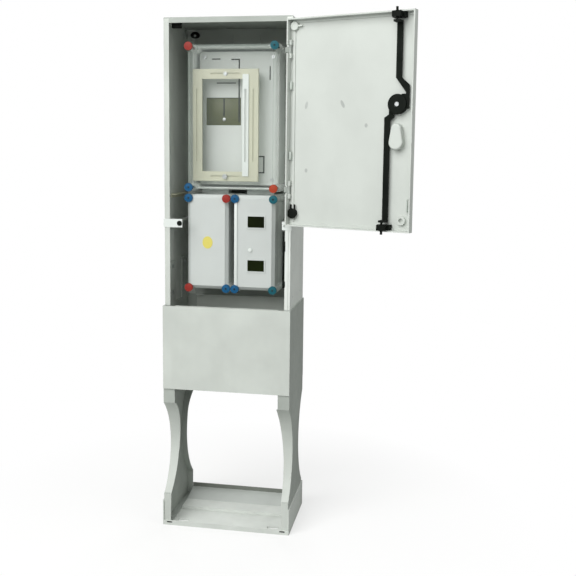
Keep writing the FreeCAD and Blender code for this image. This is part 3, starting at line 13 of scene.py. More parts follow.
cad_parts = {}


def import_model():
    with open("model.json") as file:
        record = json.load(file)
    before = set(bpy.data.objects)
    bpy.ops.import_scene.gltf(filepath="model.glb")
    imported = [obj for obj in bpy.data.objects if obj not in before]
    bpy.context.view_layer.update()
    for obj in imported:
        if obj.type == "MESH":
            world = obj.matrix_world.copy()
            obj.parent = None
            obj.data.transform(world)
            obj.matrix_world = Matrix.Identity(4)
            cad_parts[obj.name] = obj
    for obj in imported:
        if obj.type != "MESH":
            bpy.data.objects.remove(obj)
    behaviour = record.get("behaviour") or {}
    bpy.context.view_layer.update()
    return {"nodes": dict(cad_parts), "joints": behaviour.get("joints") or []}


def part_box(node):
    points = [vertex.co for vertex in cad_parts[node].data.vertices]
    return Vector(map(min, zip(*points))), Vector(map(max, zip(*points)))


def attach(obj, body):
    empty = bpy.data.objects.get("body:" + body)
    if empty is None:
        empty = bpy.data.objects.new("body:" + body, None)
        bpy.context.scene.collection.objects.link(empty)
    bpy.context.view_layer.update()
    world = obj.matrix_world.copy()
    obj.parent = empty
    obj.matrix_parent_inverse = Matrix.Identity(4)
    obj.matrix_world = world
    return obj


logging.basicConfig(level=logging.INFO, format="%(name)s: %(message)s")
log = logging.getLogger("meter_cabinet")

IMAGE_SIDE = 576
SENSOR = 36.0
EDGE_BLUR = 0.002

Colour = tuple[float, float, float]
# A span is a low and a high end, and a spot is an x and a z.
Span = tuple[float, float]
Spot = tuple[float, float]


class Grain(Enum):
    """The surface structure that a finish carries."""

    MOULDED = "moulded"
    SMOOTH = "smooth"
    COATED = "coated"
    ZINC = "zinc"
    FOAM = "foam"


@dataclass(frozen=True)
class Relief:
    """How coarse and how deep a grain is."""

    scale: float
    depth: float
    strength: float
    detail: float


RELIEFS = {
    Grain.MOULDED: Relief(620.0, 0.0004, 0.22, 6.0),
    Grain.SMOOTH: Relief(90.0, 0.0003, 0.05, 2.0),
    Grain.COATED: Relief(900.0, 0.0003, 0.30, 4.0),
    Grain.ZINC: Relief(260.0, 0.0002, 0.18, 3.0),
    Grain.FOAM: Relief(1500.0, 0.0006, 0.55, 5.0),
}


class Nodes:
    """A short way to build a material's node tree."""

    def __init__(self, name: str) -> None:
        """Starts an empty material.

        Args:
            name: The material's name.
        """
        self.material = bpy.data.materials.new(name)
        self.material.use_nodes = True
        self.tree = self.material.node_tree
        self.tree.nodes.clear()

    def add(self, kind: str, **values: object) -> bpy.types.Node:
        """Adds a node.

        Args:
            kind: Blender's node type.
            **values: Attributes of the node.

        Returns:
            The node.
        """
        node = self.tree.nodes.new(kind)
        for key, content in values.items():
            setattr(node, key, content)
        return node

    def link(self, start: bpy.types.NodeSocket, end: bpy.types.NodeSocket) -> None:
        """Joins two sockets."""
        self.tree.links.new(start, end)

    def coordinates(self) -> bpy.types.NodeSocket:
        """Gives the Object coordinates."""
        return self.add("ShaderNodeTexCoord").outputs["Object"]

    def part(self, vector: bpy.types.NodeSocket, letter: str) -> bpy.types.NodeSocket:
        """Gives one part of a vector.

        Args:
            vector: The vector.
            letter: X, Y or Z.

        Returns:
            That part's value.
        """
        node = self.add("ShaderNodeSeparateXYZ")
        self.link(vector, node.inputs["Vector"])
        return node.outputs[letter]

    def noise(self, scale: float, detail: float, stretch: Colour = (1.0, 1.0, 1.0)) -> bpy.types.NodeSocket:
        """Adds a noise on Object coordinates.

        Args:
            scale: The noise's scale.
            detail: Its octaves.
            stretch: Scale along the three axes.

        Returns:
            The noise's value.
        """
        place = self.add("ShaderNodeMapping")
        place.inputs["Scale"].default_value = stretch
        self.link(self.coordinates(), place.inputs["Vector"])
        noise = self.add("ShaderNodeTexNoise")
        noise.inputs["Scale"].default_value = scale
        noise.inputs["Detail"].default_value = detail
        self.link(place.outputs["Vector"], noise.inputs["Vector"])
        return noise.outputs["Fac"]

    def spread(self, source: bpy.types.NodeSocket, low: float, high: float,
               start: float = 0.35, end: float = 0.65) -> bpy.types.NodeSocket:
        """Maps a value's middle part onto a new range.

        Args:
            source: The value.
            low: Lowest result.
            high: Highest result.
            start: Input that gives low.
            end: Input that gives high.

        Returns:
            The mapped value.
        """
        node = self.add("ShaderNodeMapRange", clamp=True)
        node.inputs["From Min"].default_value = start
        node.inputs["From Max"].default_value = end
        node.inputs["To Min"].default_value = low
        node.inputs["To Max"].default_value = high
        self.link(source, node.inputs["Value"])
        return node.outputs["Result"]

    def blend(self, factor: bpy.types.NodeSocket, first: object, second: object) -> bpy.types.NodeSocket:
        """Mixes two colours.

        Args:
            factor: Share of the second.
            first: A colour or a socket.
            second: A colour or a socket.

        Returns:
            The mixed colour.
        """
        node = self.add("ShaderNodeMix", data_type="RGBA")
        self.link(factor, node.inputs["Factor"])
        for key, content in (("A", first), ("B", second)):
            socket = [s for s in node.inputs if s.name == key and s.type == "RGBA"][0]
            if isinstance(content, tuple):
                socket.default_value = (*content, 1.0)
            else:
                self.link(content, socket)
        return [s for s in node.outputs if s.type == "RGBA"][0]


@dataclass(frozen=True)
class Finish:
    """One finish of the cabinet, with its colour variation, soil, painted shade and grain."""

    name: str
    colour: Colour
    roughness: float = 0.5
    grain: Grain = Grain.MOULDED
    metallic: float = 0.0
    mottle: float = 0.06
    soil: float = 0.0
    # Colour of the soil smudges and of the painted shade.
    soil_and_shade_colour: Colour = (0.10, 0.11, 0.09)
    second: Colour | None = None
    second_from: float = 0.1
    alpha: float = 1.0
    edge_alpha: float = 1.0
    shine: float = 0.5
    # The y behind which the colour is darkened as painted shade.
    painted_shade_from: float | None = None

    def shade(self, amount: float) -> Colour:
        """Gives the finish's colour, lighter or darker."""
        return tuple(min(1.0, part * amount) for part in self.colour)

    def veil(self, nodes: Nodes) -> bpy.types.NodeSocket:
        """Makes a clear finish thinner where its face looks forward than on its edges.

        Args:
            nodes: The material's nodes.

        Returns:
            How much of the finish covers what is behind it.
        """
        normal = nodes.add("ShaderNodeNewGeometry").outputs["True Normal"]
        facing = nodes.add("ShaderNodeMath", operation="ABSOLUTE")
        nodes.link(nodes.part(normal, "Y"), facing.inputs[0])
        return nodes.spread(facing.outputs["Value"], self.edge_alpha, self.alpha, start=0.70, end=0.98)

    def tint(self, nodes: Nodes) -> bpy.types.NodeSocket:
        """Mixes the finish's colour with its clouds, second colour, soil, painted shade and spangles.

        Args:
            nodes: The material's nodes.

        Returns:
            The mixed colour.
        """
        cloud = nodes.spread(nodes.noise(scale=7.0, detail=3.0), low=0.0, high=1.0)
        colour = nodes.blend(cloud, self.shade(1.0 - self.mottle), self.shade(1.0 + self.mottle))
        if self.second is not None:
            x = nodes.part(nodes.coordinates(), "X")
            side = nodes.spread(x, 0.0, 1.0, start=self.second_from, end=self.second_from + EDGE_BLUR)
            colour = nodes.blend(side, colour, self.second)
        if self.soil > 0.0:
            smear = nodes.noise(scale=11.0, detail=6.0, stretch=(1.0, 1.0, 0.35))
            smudge = nodes.spread(smear, low=0.0, high=self.soil, start=0.52, end=0.78)
            colour = nodes.blend(smudge, colour, self.soil_and_shade_colour)
        # Painted shade: faces behind this y are darkened towards the soil colour.
        if self.painted_shade_from is not None:
            y = nodes.part(nodes.coordinates(), "Y")
            shade = nodes.spread(y, low=0.0, high=0.85, start=self.painted_shade_from, end=self.painted_shade_from + EDGE_BLUR)
            colour = nodes.blend(shade, colour, self.soil_and_shade_colour)
        if self.grain is Grain.ZINC:
            cells = nodes.add("ShaderNodeTexVoronoi")
            cells.inputs["Scale"].default_value = 130.0
            nodes.link(nodes.coordinates(), cells.inputs["Vector"])
            spangle = nodes.spread(cells.outputs["Distance"], low=0.0, high=0.35, start=0.1, end=0.7)
            colour = nodes.blend(spangle, colour, self.shade(0.7))
        return colour

    def relief(self, nodes: Nodes) -> bpy.types.NodeSocket:
        """Makes the finish's grain.

        Args:
            nodes: The material's nodes.

        Returns:
            The bumped normal.
        """
        form = RELIEFS[self.grain]
        bump = nodes.add("ShaderNodeBump")
        bump.inputs["Strength"].default_value = form.strength
        bump.inputs["Distance"].default_value = form.depth
        nodes.link(nodes.noise(form.scale, form.detail), bump.inputs["Height"])
        return bump.outputs["Normal"]

    def build(self) -> bpy.types.Material:
        """Builds the material.

        Returns:
            The material.
        """
        nodes = Nodes(self.name)
        shader = nodes.add("ShaderNodeBsdfPrincipled")
        output = nodes.add("ShaderNodeOutputMaterial")
        nodes.link(shader.outputs["BSDF"], output.inputs["Surface"])
        shader.inputs["Metallic"].default_value = self.metallic
        shader.inputs["Specular IOR Level"].default_value = self.shine
        if self.alpha < 1.0:
            nodes.link(self.veil(nodes), shader.inputs["Alpha"])
        nodes.link(self.tint(nodes), shader.inputs["Base Color"])
        rough = nodes.spread(nodes.noise(scale=38.0, detail=4.0), low=self.roughness * 0.85,
                             high=min(1.0, self.roughness * 1.15))
        nodes.link(rough, shader.inputs["Roughness"])
        nodes.link(self.relief(nodes), shader.inputs["Normal"])
        return nodes.material


class Paint(Enum):
    """The cabinet's finishes."""

    MOULDING = Finish("grey_moulding_finish", (0.555, 0.585, 0.545), 0.55, Grain.MOULDED, soil=0.10,
                      shine=0.35)
    # Painted light and shade: the tray is a lighter copy of the grey moulding, and its back lip is darkened
    # as painted shade.
    TRAY = Finish("painted_light_tray_finish", (0.63, 0.66, 0.62), 0.55, Grain.MOULDED, soil=0.12, shine=0.35, painted_shade_from=0.124)
    DOOR = Finish("door_finish", (0.56, 0.59, 0.553), 0.48, Grain.MOULDED, mottle=0.03, soil=0.05,
                  shine=0.35)
    # White plastic parts, also used for a painted highlight on the right lid's edge.
    WHITE = Finish("white_plastic_and_highlight_finish", (0.70, 0.74, 0.71), 0.42, Grain.SMOOTH, mottle=0.03)
    LID = Finish("pale_lid_finish", (0.55, 0.58, 0.56), 0.34, Grain.SMOOTH, mottle=0.03)
    # Painted light: a lighter copy of the white plastic, used on the meter box's base.
    BASE = Finish("painted_light_box_base_finish", (0.86, 0.89, 0.87), 0.45, Grain.SMOOTH, mottle=0.03)
    BOARD = Finish("white_board_finish", (0.58, 0.61, 0.58), 0.45, Grain.SMOOTH, mottle=0.03)
    CLEAR = Finish("clear_cover_finish", (0.62, 0.70, 0.65), 0.10, Grain.SMOOTH, mottle=0.02, alpha=0.05,
                   edge_alpha=0.24)
    BEIGE = Finish("beige_plastic_finish", (0.53, 0.53, 0.40), 0.42, Grain.SMOOTH, mottle=0.05)
    OLIVE = Finish("olive_panel_finish", (0.072, 0.080, 0.014), 0.45, Grain.SMOOTH, mottle=0.25)
    PANE = Finish("olive_pane_finish", (0.006, 0.010, 0.001), 0.5, Grain.SMOOTH, mottle=0.3, shine=0.06)
    ROD = Finish("black_metal_finish", (0.003, 0.005, 0.003), 0.65, Grain.COATED, mottle=0.2, shine=0.12)
    # Black plastic parts, also used for painted shadow.
    BLACK = Finish("black_plastic_and_shadow_finish", (0.003, 0.005, 0.003), 0.6, Grain.SMOOTH, mottle=0.2, shine=0.12)
    # Painted light: a lighter copy of the grey moulding, used on the right side walls.
    SIDE = Finish("painted_light_moulding_finish", (0.72, 0.75, 0.71), 0.55, Grain.MOULDED, soil=0.10, shine=0.35)
    # Painted shade: a darker copy of the grey moulding, used on the legs, the rear walls and the roof.
    LEG = Finish("painted_shade_moulding_finish", (0.40, 0.43, 0.395), 0.55, Grain.MOULDED, soil=0.10, shine=0.30)
    FOAM = Finish("grey_foam_finish", (0.58, 0.61, 0.575), 0.95, Grain.FOAM, mottle=0.08)
    ZINC = Finish("zinc_finish", (0.50, 0.52, 0.52), 0.36, Grain.ZINC, 0.9)
    BRASS = Finish("brass_finish", (0.60, 0.43, 0.18), 0.3, Grain.SMOOTH, 1.0)
    RED = Finish("red_knob_finish", (0.29, 0.026, 0.018), 0.45, Grain.SMOOTH, shine=0.25,
                 second=(0.37, 0.044, 0.015))
    BLUE = Finish("blue_knob_finish", (0.004, 0.080, 0.19), 0.45, Grain.SMOOTH, shine=0.25,
                  second=(0.006, 0.10, 0.13))
    YELLOW = Finish("yellow_patch_finish", (0.66, 0.58, 0.12), 0.5, Grain.SMOOTH, mottle=0.05)
    # Dark lines on the board, and painted shade in slots and recesses.
    INK = Finish("dark_line_and_shade_finish", (0.012, 0.015, 0.012), 0.6, Grain.SMOOTH, shine=0.2)
    MARK = Finish("grey_mark_finish", (0.42, 0.46, 0.42), 0.6, Grain.SMOOTH, mottle=0.15)
    HINGE = Finish("hinge_finish", (0.34, 0.37, 0.34), 0.5, Grain.SMOOTH, mottle=0.05)
    SCUFF = Finish("scuff_finish", (0.44, 0.46, 0.44), 0.6, Grain.MOULDED, mottle=0.2, shine=0.2)
    # Painted shade: a darker copy of the tray's moulding, used on the tray's ramp.
    RAMP = Finish("painted_shade_ramp_finish", (0.50, 0.53, 0.50), 0.55, Grain.MOULDED, soil=0.08, shine=0.35)

    def material(self) -> bpy.types.Material:
        """Gives the finish's material, built once."""
        return bpy.data.materials.get(self.value.name) or self.value.build()


@dataclass(frozen=True)
class Stud:
    """A small round piece: how far its middle lies in front of its seat, its size and its rim."""

    lift: float
    radius: float
    length: float
    rim: float
    sides: int = 40


@dataclass(frozen=True)
class Dent:
    """A dent in the door's skin: its place, its half width and height, and its lean in radians."""

    place: Spot
    half: Spot
    lean: float = 0.0


def around(middle: float, half: float) -> Span:
    """Gives the span on both sides of a middle."""
    return middle - half, middle + half


class Shaper:
    """Builds one mesh piece from bmesh operators."""

    def __init__(self, name: str) -> None:
        """Starts an empty piece.

        Args:
            name: The piece's name.
        """
        self.name = name
        self.mesh = bmesh.new()

    def block(self, low: Vector, high: Vector, bevel: float = 0.0, segments: int = 2) -> "Shaper":
        """Adds a box with rounded edges.

        Args:
            low: Lowest corner.
            high: Highest corner.
            bevel: Width of the rounding.
            segments: Steps of the rounding.

        Returns:
            The shaper.
        """
        made = bmesh.ops.create_cube(self.mesh, size=1.0)["verts"]
        size, middle = high - low, (high + low) / 2
        bmesh.ops.scale(self.mesh, vec=size, verts=made)
        bmesh.ops.translate(self.mesh, vec=middle, verts=made)
        if bevel > 0.0:
            edges = list({edge for vert in made for edge in vert.link_edges})
            self.round(edges, bevel, segments)
        return self

    def slab(self, x: Span, z: Span, level: float, depth: Span, bevel: float = 0.0) -> "Shaper":
        """Adds a box whose depth is measured back from a level.

        Args:
            x: Its left and right side.
            z: Its foot and top.
            level: The y of the face that it sits on.
            depth: Its front and back, from that face.
            bevel: Width of the rounding.

        Returns:
            The shaper.
        """
        low = Vector((x[0], level + depth[0], z[0]))
        high = Vector((x[1], level + depth[1], z[1]))
        return self.block(low, high, bevel)

    def round(self, edges: list, width: float, segments: int = 2) -> None:
        """Rounds edges.

        Args:
            edges: The edges.
            width: Width of the rounding.
            segments: Its steps.
        """
        bmesh.ops.bevel(self.mesh, geom=edges, offset=width, offset_type="OFFSET", segments=segments,
                        profile=0.5, affect="EDGES", material=-1, clamp_overlap=True)

    def disc(self, centre: Vector, radius: float, length: float, bevel: float = 0.0,
             sides: int = 40) -> "Shaper":
        """Adds a round bar along y, centred on a point.

        Args:
            centre: Its middle.
            radius: Its radius.
            length: Its length.
            bevel: Rounding of its rims.
            sides: Facets round it.

        Returns:
            The shaper.
        """
        made = bmesh.ops.create_cone(self.mesh, cap_ends=True, segments=sides, radius1=radius,
                                     radius2=radius, depth=length)["verts"]
        along_y = Matrix.Rotation(-math.pi / 2, 3, "X")
        bmesh.ops.rotate(self.mesh, verts=made, cent=(0, 0, 0), matrix=along_y)
        bmesh.ops.translate(self.mesh, vec=centre, verts=made)
        if bevel > 0.0:
            faces = {face for vert in made for face in vert.link_faces if len(face.verts) > 4}
            edges = list({edge for face in faces for edge in face.edges})
            self.round(edges, bevel, 3)
        return self

    def stud(self, seat: Vector, stud: Stud) -> "Shaper":
        """Adds a small round piece in front of its seat.

        Args:
            seat: A point of the face that it sits on.
            stud: The piece.

        Returns:
            The shaper.
        """
        place = seat - Vector((0.0, stud.lift, 0.0))
        return self.disc(place, stud.radius, stud.length, stud.rim, stud.sides)

    def move(self, matrix: Matrix) -> "Shaper":
        """Applies a transform to the whole piece."""
        bmesh.ops.transform(self.mesh, matrix=matrix, verts=self.mesh.verts)
        return self

    def finish(self, paint: Paint, body: str, smooth: bool = True) -> bpy.types.Object:
        """Makes the object, dresses it and lets it ride on a body.

        Args:
            paint: Its finish.
            body: The body it rides on.
            smooth: Whether its round faces are shaded smooth.

        Returns:
            The object.
        """
        bmesh.ops.recalc_face_normals(self.mesh, faces=self.mesh.faces)
        data = bpy.data.meshes.new(self.name)
        self.mesh.to_mesh(data)
        self.mesh.free()
        piece = bpy.data.objects.new(self.name, data)
        bpy.context.scene.collection.objects.link(piece)
        data.materials.append(paint.material())
        if smooth:
            data.shade_smooth()
            data.set_sharp_from_angle(angle=math.radians(35))
        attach(piece, body)
        log.info("%s: %d faces, %s", self.name, len(data.polygons), paint.name)
        return piece


@dataclass
class DoorFrame:
    """The door's own coordinates, as if it were shut, and the turn to where it stands."""

    joints: list
    pivot: Vector = field(init=False)
    turn: Matrix = field(init=False)

    def __post_init__(self) -> None:
        """Reads the hinge from the frame's joints."""
        hinge = [joint for joint in self.joints if joint["name"] == "door_hinge"][0]
        self.pivot = Vector(hinge["pos_m"])
        angle = math.radians(-hinge["range_deg"][0])
        shift = Matrix.Translation(self.pivot)
        self.turn = shift @ Matrix.Rotation(angle, 4, "Z") @ shift.inverted()


@dataclass
class Carcass:
    """The housing and the pedestal: finishes on their nodes, and the small pieces on them."""

    finishes: dict[str, Paint] = field(default_factory=lambda: {
        "base_tray": Paint.TRAY, "left_leg": Paint.LEG, "right_leg": Paint.LEG,
        "pedestal_front_panel": Paint.MOULDING, "pedestal_rear_panel": Paint.MOULDING,
        "lower_left_side": Paint.MOULDING, "lower_right_side": Paint.SIDE,
        "lower_rear_wall": Paint.LEG, "upper_left_side": Paint.MOULDING,
        "upper_right_side": Paint.SIDE, "upper_rear_wall": Paint.LEG, "roof": Paint.LEG,
        "vent_plugs": Paint.HINGE, "corner_brackets": Paint.WHITE, "cable_ledge": Paint.BEIGE,
        "mounting_rails": Paint.ZINC, "cable_rail": Paint.ZINC, "cable_saddles": Paint.BLACK,
        "seam_bolts": Paint.ZINC, "rear_screws": Paint.ZINC, "leg_screws": Paint.ZINC,
        "lower_hinge_bracket": Paint.HINGE, "upper_hinge_bracket": Paint.HINGE, "hinge_pins": Paint.ZINC,
    })
    sheet: float = 0.004
    block_edge: float = 0.0015
    keeper_x: Span = (-0.180, -0.150)
    keeper_y: Span = (0.019, 0.031)
    keeper_drop: float = 0.026
    slot_half: float = 0.0085
    slot_inset: float = 0.0185
    slot_y: Span = (0.0015, 0.0038)
    slot_z: Span = (0.008, 0.012)
    face_lift: float = 0.0003
    face_inset: float = 0.0004
    face_rows: int = 72
    scoop: Span = (0.103, 0.407)
    scoop_depth: float = 0.072
    face_widths: tuple[tuple[float, float], ...] = (
        (0.4065, 0.0405), (0.380, 0.040), (0.325, 0.036), (0.270, 0.0315), (0.215, 0.0275),
        (0.165, 0.0255), (0.128, 0.0240), (0.104, 0.0230), (0.047, 0.0218), (0.0155, 0.0215))
    ramp_start: float = 0.1885
    ramp_foot: float = 0.0135
    ramp_top: float = 0.031
    ramp_inset: float = 0.0222
    ramp_overlap: float = 0.0005
    # Painted shadow: the black strip and its lumps on the right rim's inner edge.
    shadow_strip_x: Span = (0.1750, 0.1832)
    shadow_strip_y: Span = (0.001, 0.009)
    shadow_strip_z: Span = (0.790, 0.966)
    lump_x: Span = (0.1752, 0.1857)
    lump_y: Span = (-0.0006, 0.0060)
    lump_edge: float = 0.0025
    lumps: tuple[tuple[float, float], ...] = ((0.919, 0.017), (0.802, 0.011))
    plug_place: Spot = (-0.1515, 0.982)
    plug: Stud = Stud(lift=0.0004, radius=0.0080, length=0.0030, rim=0.0008, sides=28)

    def rod_keeper(self) -> None:
        """Makes the black block under the roof that the upper rod's tip shuts behind; its black is partly
        painted shadow for the dark corner there.
        """
        low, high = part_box("roof")
        under = high[2] - self.sheet
        drop = (under - self.keeper_drop, under)
        shaper = Shaper("rod_keeper")
        shaper.slab(self.keeper_x, drop, low[1], self.keeper_y, self.block_edge)
        shaper.finish(Paint.BLACK, "cabinet")

    def slot_linings(self) -> None:
        """Makes dark plates in the two slots of the tray's front lip, painted shade for the slots' dark
        inside.
        """
        low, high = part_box("base_tray")
        inset = self.sheet + self.slot_inset
        shaper = Shaper("slot_linings")
        for x in (low[0] + inset, high[0] - inset):
            shaper.slab(around(x, self.slot_half), self.slot_z, low[1], self.slot_y)
        shaper.finish(Paint.INK, "cabinet", smooth=False)

    def leg_depth(self, z: float) -> float:
        """Gives the y of a leg's front face at a height.

        Args:
            z: The height.

        Returns:
            The face's y: flat above and below, and an arc between.
        """
        low, high = self.scoop
        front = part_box("base_tray")[0][1] + self.sheet
        if not low < z < high:
            return front
        chord = high - low
        radius = (chord * chord / 4 + self.scoop_depth ** 2) / (2 * self.scoop_depth)
        middle = (low + high) / 2
        return front + self.scoop_depth - radius + math.sqrt(radius ** 2 - (z - middle) ** 2)

    def leg_width(self, z: float) -> float:
        """Gives the width of a leg's front face at a height, between the listed ones.

        Args:
            z: The height.

        Returns:
            The face's width.
        """
        rows = self.face_widths
        for (high, wide), (low, narrow) in zip(rows, rows[1:]):
            if z >= low:
                return narrow + (wide - narrow) * (z - low) / (high - low)
        return rows[-1][1]

    def leg_faces(self) -> None:
        """Makes the front faces of the two legs, which narrow towards the foot."""
        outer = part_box("right_leg")[1][0] - self.face_inset
        high, low = self.face_widths[0][0], self.face_widths[-1][0]
        for side, name in ((-1, "left_leg_face"), (1, "right_leg_face")):
            shaper = Shaper(name)
            bmesh.ops.create_grid(shaper.mesh, x_segments=2, y_segments=self.face_rows, size=0.5)
            for vert in shaper.mesh.verts:
                z = low + (vert.co.y + 0.5) * (high - low)
                x = outer - (vert.co.x + 0.5) * self.leg_width(z)
                vert.co = (side * x, self.leg_depth(z) - self.face_lift, z)
            made = bmesh.ops.extrude_face_region(shaper.mesh, geom=list(shaper.mesh.faces))["geom"]
            behind = [part for part in made if isinstance(part, bmesh.types.BMVert)]
            bmesh.ops.translate(shaper.mesh, vec=Vector((0.0, self.sheet, 0.0)), verts=behind)
            # The faces keep the grey moulding, so beside them the legs show their painted shade.
            shaper.finish(Paint.MOULDING, "cabinet")

    def tray_ramp(self) -> None:
        """Makes the slope that rises from the tray's middle band to its back lip."""
        low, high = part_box("base_tray")
        start = low[1] + self.ramp_start
        end = high[1] - self.sheet + self.ramp_overlap
        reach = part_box("right_leg")[1][0] - self.ramp_inset
        shaper = Shaper("tray_ramp")
        shaper.block(Vector((-reach, start, self.sheet)), Vector((reach, end, self.ramp_top)))
        for vert in shaper.mesh.verts:
            if vert.co.z > self.ramp_foot and vert.co.y < (start + end) / 2:
                vert.co.z = self.ramp_foot
        shaper.finish(Paint.RAMP, "cabinet")

    def bracket_plug(self) -> None:
        """Makes the black plug in the left corner bracket's hole."""
        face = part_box("corner_brackets")[0][1]
        shaper = Shaper("bracket_plug")
        x, z = self.plug_place
        shaper.stud(Vector((x, face, z)), self.plug)
        shaper.finish(Paint.BLACK, "cabinet")

    def edge_trim(self) -> None:
        """Makes the black strip on the inner edge of the lower opening's right rim, a painted shadow of the
        gap there.
        """
        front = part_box("upper_right_side")[0][1]
        shaper = Shaper("edge_trim")
        shaper.slab(self.shadow_strip_x, self.shadow_strip_z, front, self.shadow_strip_y, self.block_edge)
        for z, half in self.lumps:
            shaper.slab(self.lump_x, around(z, half), front, self.lump_y, self.lump_edge)
        shaper.finish(Paint.BLACK, "cabinet")

    def build(self, nodes: dict) -> None:
        """Dresses the nodes and builds the pieces.

        Args:
            nodes: The frame's nodes.
        """
        dress_nodes(nodes, self.finishes)
        self.rod_keeper()
        self.slot_linings()
        self.leg_faces()
        self.tray_ramp()
        self.bracket_plug()
        self.edge_trim()


@dataclass
class InnerBoxes:
    """The meter box and the two lower boxes, with patches and lines on them."""

    patch_half: Spot = (0.0165, 0.0195)
    patch_centre: Spot = (-0.075, 0.919)
    patch_thick: float = 0.0006
    window_gap: float = 0.002
    plate_x: Span = (-0.112, 0.013)
    plate_y: Span = (0.0, 0.003)
    plate_z: Span = (1.284, 1.382)
    plate_edge: float = 0.0006
    plate_slot_x: Span = (-0.052, -0.047)
    plate_slot_y: Span = (-0.0006, 0.0010)
    plate_slot_z: Span = (1.318, 1.374)
    plate_slot_edge: float = 0.0003
    screw_place: Spot = (-0.0485, 1.308)
    screw: Stud = Stud(lift=0.0015, radius=0.0055, length=0.0030, rim=0.0009)
    line_y: Span = (-0.0010, 0.0002)
    board_edges: tuple[tuple[float, float, float, float], ...] = (
        (-0.0005, 0.0040, 1.300, 1.498), (-0.024, 0.0040, 1.4945, 1.4985), (-0.088, -0.060, 1.4965, 1.4998),
        (0.048, 0.0508, 1.141, 1.198), (0.082, 0.0862, 1.141, 1.192), (0.060, 0.0862, 1.1885, 1.1925),
        (0.048, 0.0862, 1.1370, 1.1410), (0.1005, 0.1038, 1.432, 1.475), (-0.072, -0.009, 1.4213, 1.4243))
    pane_x: Span = (0.055, 0.108)
    pane_y: Span = (0.002, 0.004)
    pane_feet: tuple[float, float] = (0.832, 0.970)
    pane_high: float = 0.035
    socket: Stud = Stud(lift=0.0004, radius=0.0030, length=0.0010, rim=0.0002, sides=20)
    cap: Stud = Stud(lift=-0.0007, radius=0.0102, length=0.0020, rim=0.0009, sides=36)
    ridge_x: Span = (0.0125, 0.0215)
    ridge_y: Span = (-0.0008, 0.0006)
    ridge_end: float = 0.006
    ridge_edge: float = 0.0005
    grommet_place: Spot = (-0.1690, 1.5850)
    grommet_squash: float = 0.68
    grommet: Stud = Stud(lift=0.0050, radius=0.0155, length=0.0120, rim=0.0030, sides=44)
    core_shift: Spot = (0.001, -0.002)
    core: Stud = Stud(lift=0.0112, radius=0.0042, length=0.0020, rim=0.0007, sides=28)
    white_dot_place: Spot = (0.0629, 0.8994)
    white_dot: Stud = Stud(lift=0.0006, radius=0.0062, length=0.0016, rim=0.0006, sides=28)
    frame_bar: float = 0.031
    strip_half: float = 0.0032
    strip_y: Span = (0.0035, 0.0065)
    upright_end: float = 0.058
    cross_half: float = 0.051
    finishes: dict[str, Paint] = field(default_factory=lambda: {
        "meter_box_base": Paint.BASE, "left_box_base": Paint.WHITE, "right_box_base": Paint.WHITE,
        "meter_box_cover": Paint.CLEAR, "left_box_cover": Paint.LID, "right_box_cover": Paint.LID,
        "cover_seals": Paint.FOAM, "box_couplings": Paint.WHITE, "cable_grommets": Paint.BLACK,
        "meter_board": Paint.BOARD, "meter_frame": Paint.BEIGE, "meter_slider": Paint.WHITE,
        "frame_screws": Paint.ZINC, "terminal_block": Paint.BEIGE, "terminal_screws": Paint.BRASS,
        "top_hat_rails": Paint.ZINC, "red_cover_screws": Paint.RED, "blue_cover_screws": Paint.BLUE,
    })

    def patch(self) -> None:
        """Makes the plain yellow patch on the left lid."""
        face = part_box("left_box_cover")[0][1]
        x, z = self.patch_centre
        half_x, half_z = self.patch_half
        shaper = Shaper("yellow_patch")
        shaper.disc(Vector((0, 0, 0)), radius=1.0, length=1.0, sides=48)
        scale = Matrix.Diagonal((half_x, self.patch_thick, half_z, 1.0))
        shaper.move(Matrix.Translation((x, face - self.patch_thick / 2, z)) @ scale)
        shaper.finish(Paint.YELLOW, "cabinet")

    def window_back(self) -> None:
        """Makes the olive plate behind the board's window, with its screw and a dark strip painted as the
        shade of its slot.
        """
        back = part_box("meter_board")[1][1] + self.window_gap
        shaper = Shaper("window_back")
        shaper.slab(self.plate_x, self.plate_z, back, self.plate_y, self.plate_edge)
        shaper.finish(Paint.OLIVE, "cabinet")
        # Painted shade: the slot is a dark strip laid on the plate.
        slot = Shaper("window_slot")
        slot.slab(self.plate_slot_x, self.plate_slot_z, back, self.plate_slot_y, self.plate_slot_edge)
        slot.finish(Paint.INK, "cabinet")
        head = Shaper("window_screw")
        x, z = self.screw_place
        head.stud(Vector((x, back, z)), self.screw)
        head.finish(Paint.ZINC, "cabinet")

    def lines(self) -> None:
        """Makes the thin dark edges on the meter board."""
        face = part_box("meter_board")[0][1]
        shaper = Shaper("board_edges")
        for left, right, foot, top in self.board_edges:
            shaper.slab((left, right), (foot, top), face, self.line_y)
        shaper.finish(Paint.INK, "cabinet", smooth=False)

    def knob_caps(self) -> None:
        """Makes the round cap on each cover screw."""
        for node, paint in (("red_cover_screws", Paint.RED), ("blue_cover_screws", Paint.BLUE)):
            shaper = Shaper(node.replace("screws", "caps"))
            for (x, z), face in knob_places(node):
                shaper.stud(Vector((x, face, z)), self.cap)
            shaper.finish(paint, "cabinet")

    def slot_strips(self) -> None:
        """Makes the beige bottoms of the slots in the meter frame's bars."""
        low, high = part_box("meter_frame")
        inset, half = self.frame_bar / 2, self.strip_half
        upright = (low[2] + self.upright_end, high[2] - self.upright_end)
        across = around((low[0] + high[0]) / 2, self.cross_half)
        shaper = Shaper("slot_strips")
        for x in (low[0] + inset, high[0] - inset):
            shaper.slab(around(x, half), upright, low[1], self.strip_y)
        for z in (low[2] + inset, high[2] - inset):
            shaper.slab(across, around(z, half), low[1], self.strip_y)
        shaper.finish(Paint.BEIGE, "cabinet", smooth=False)

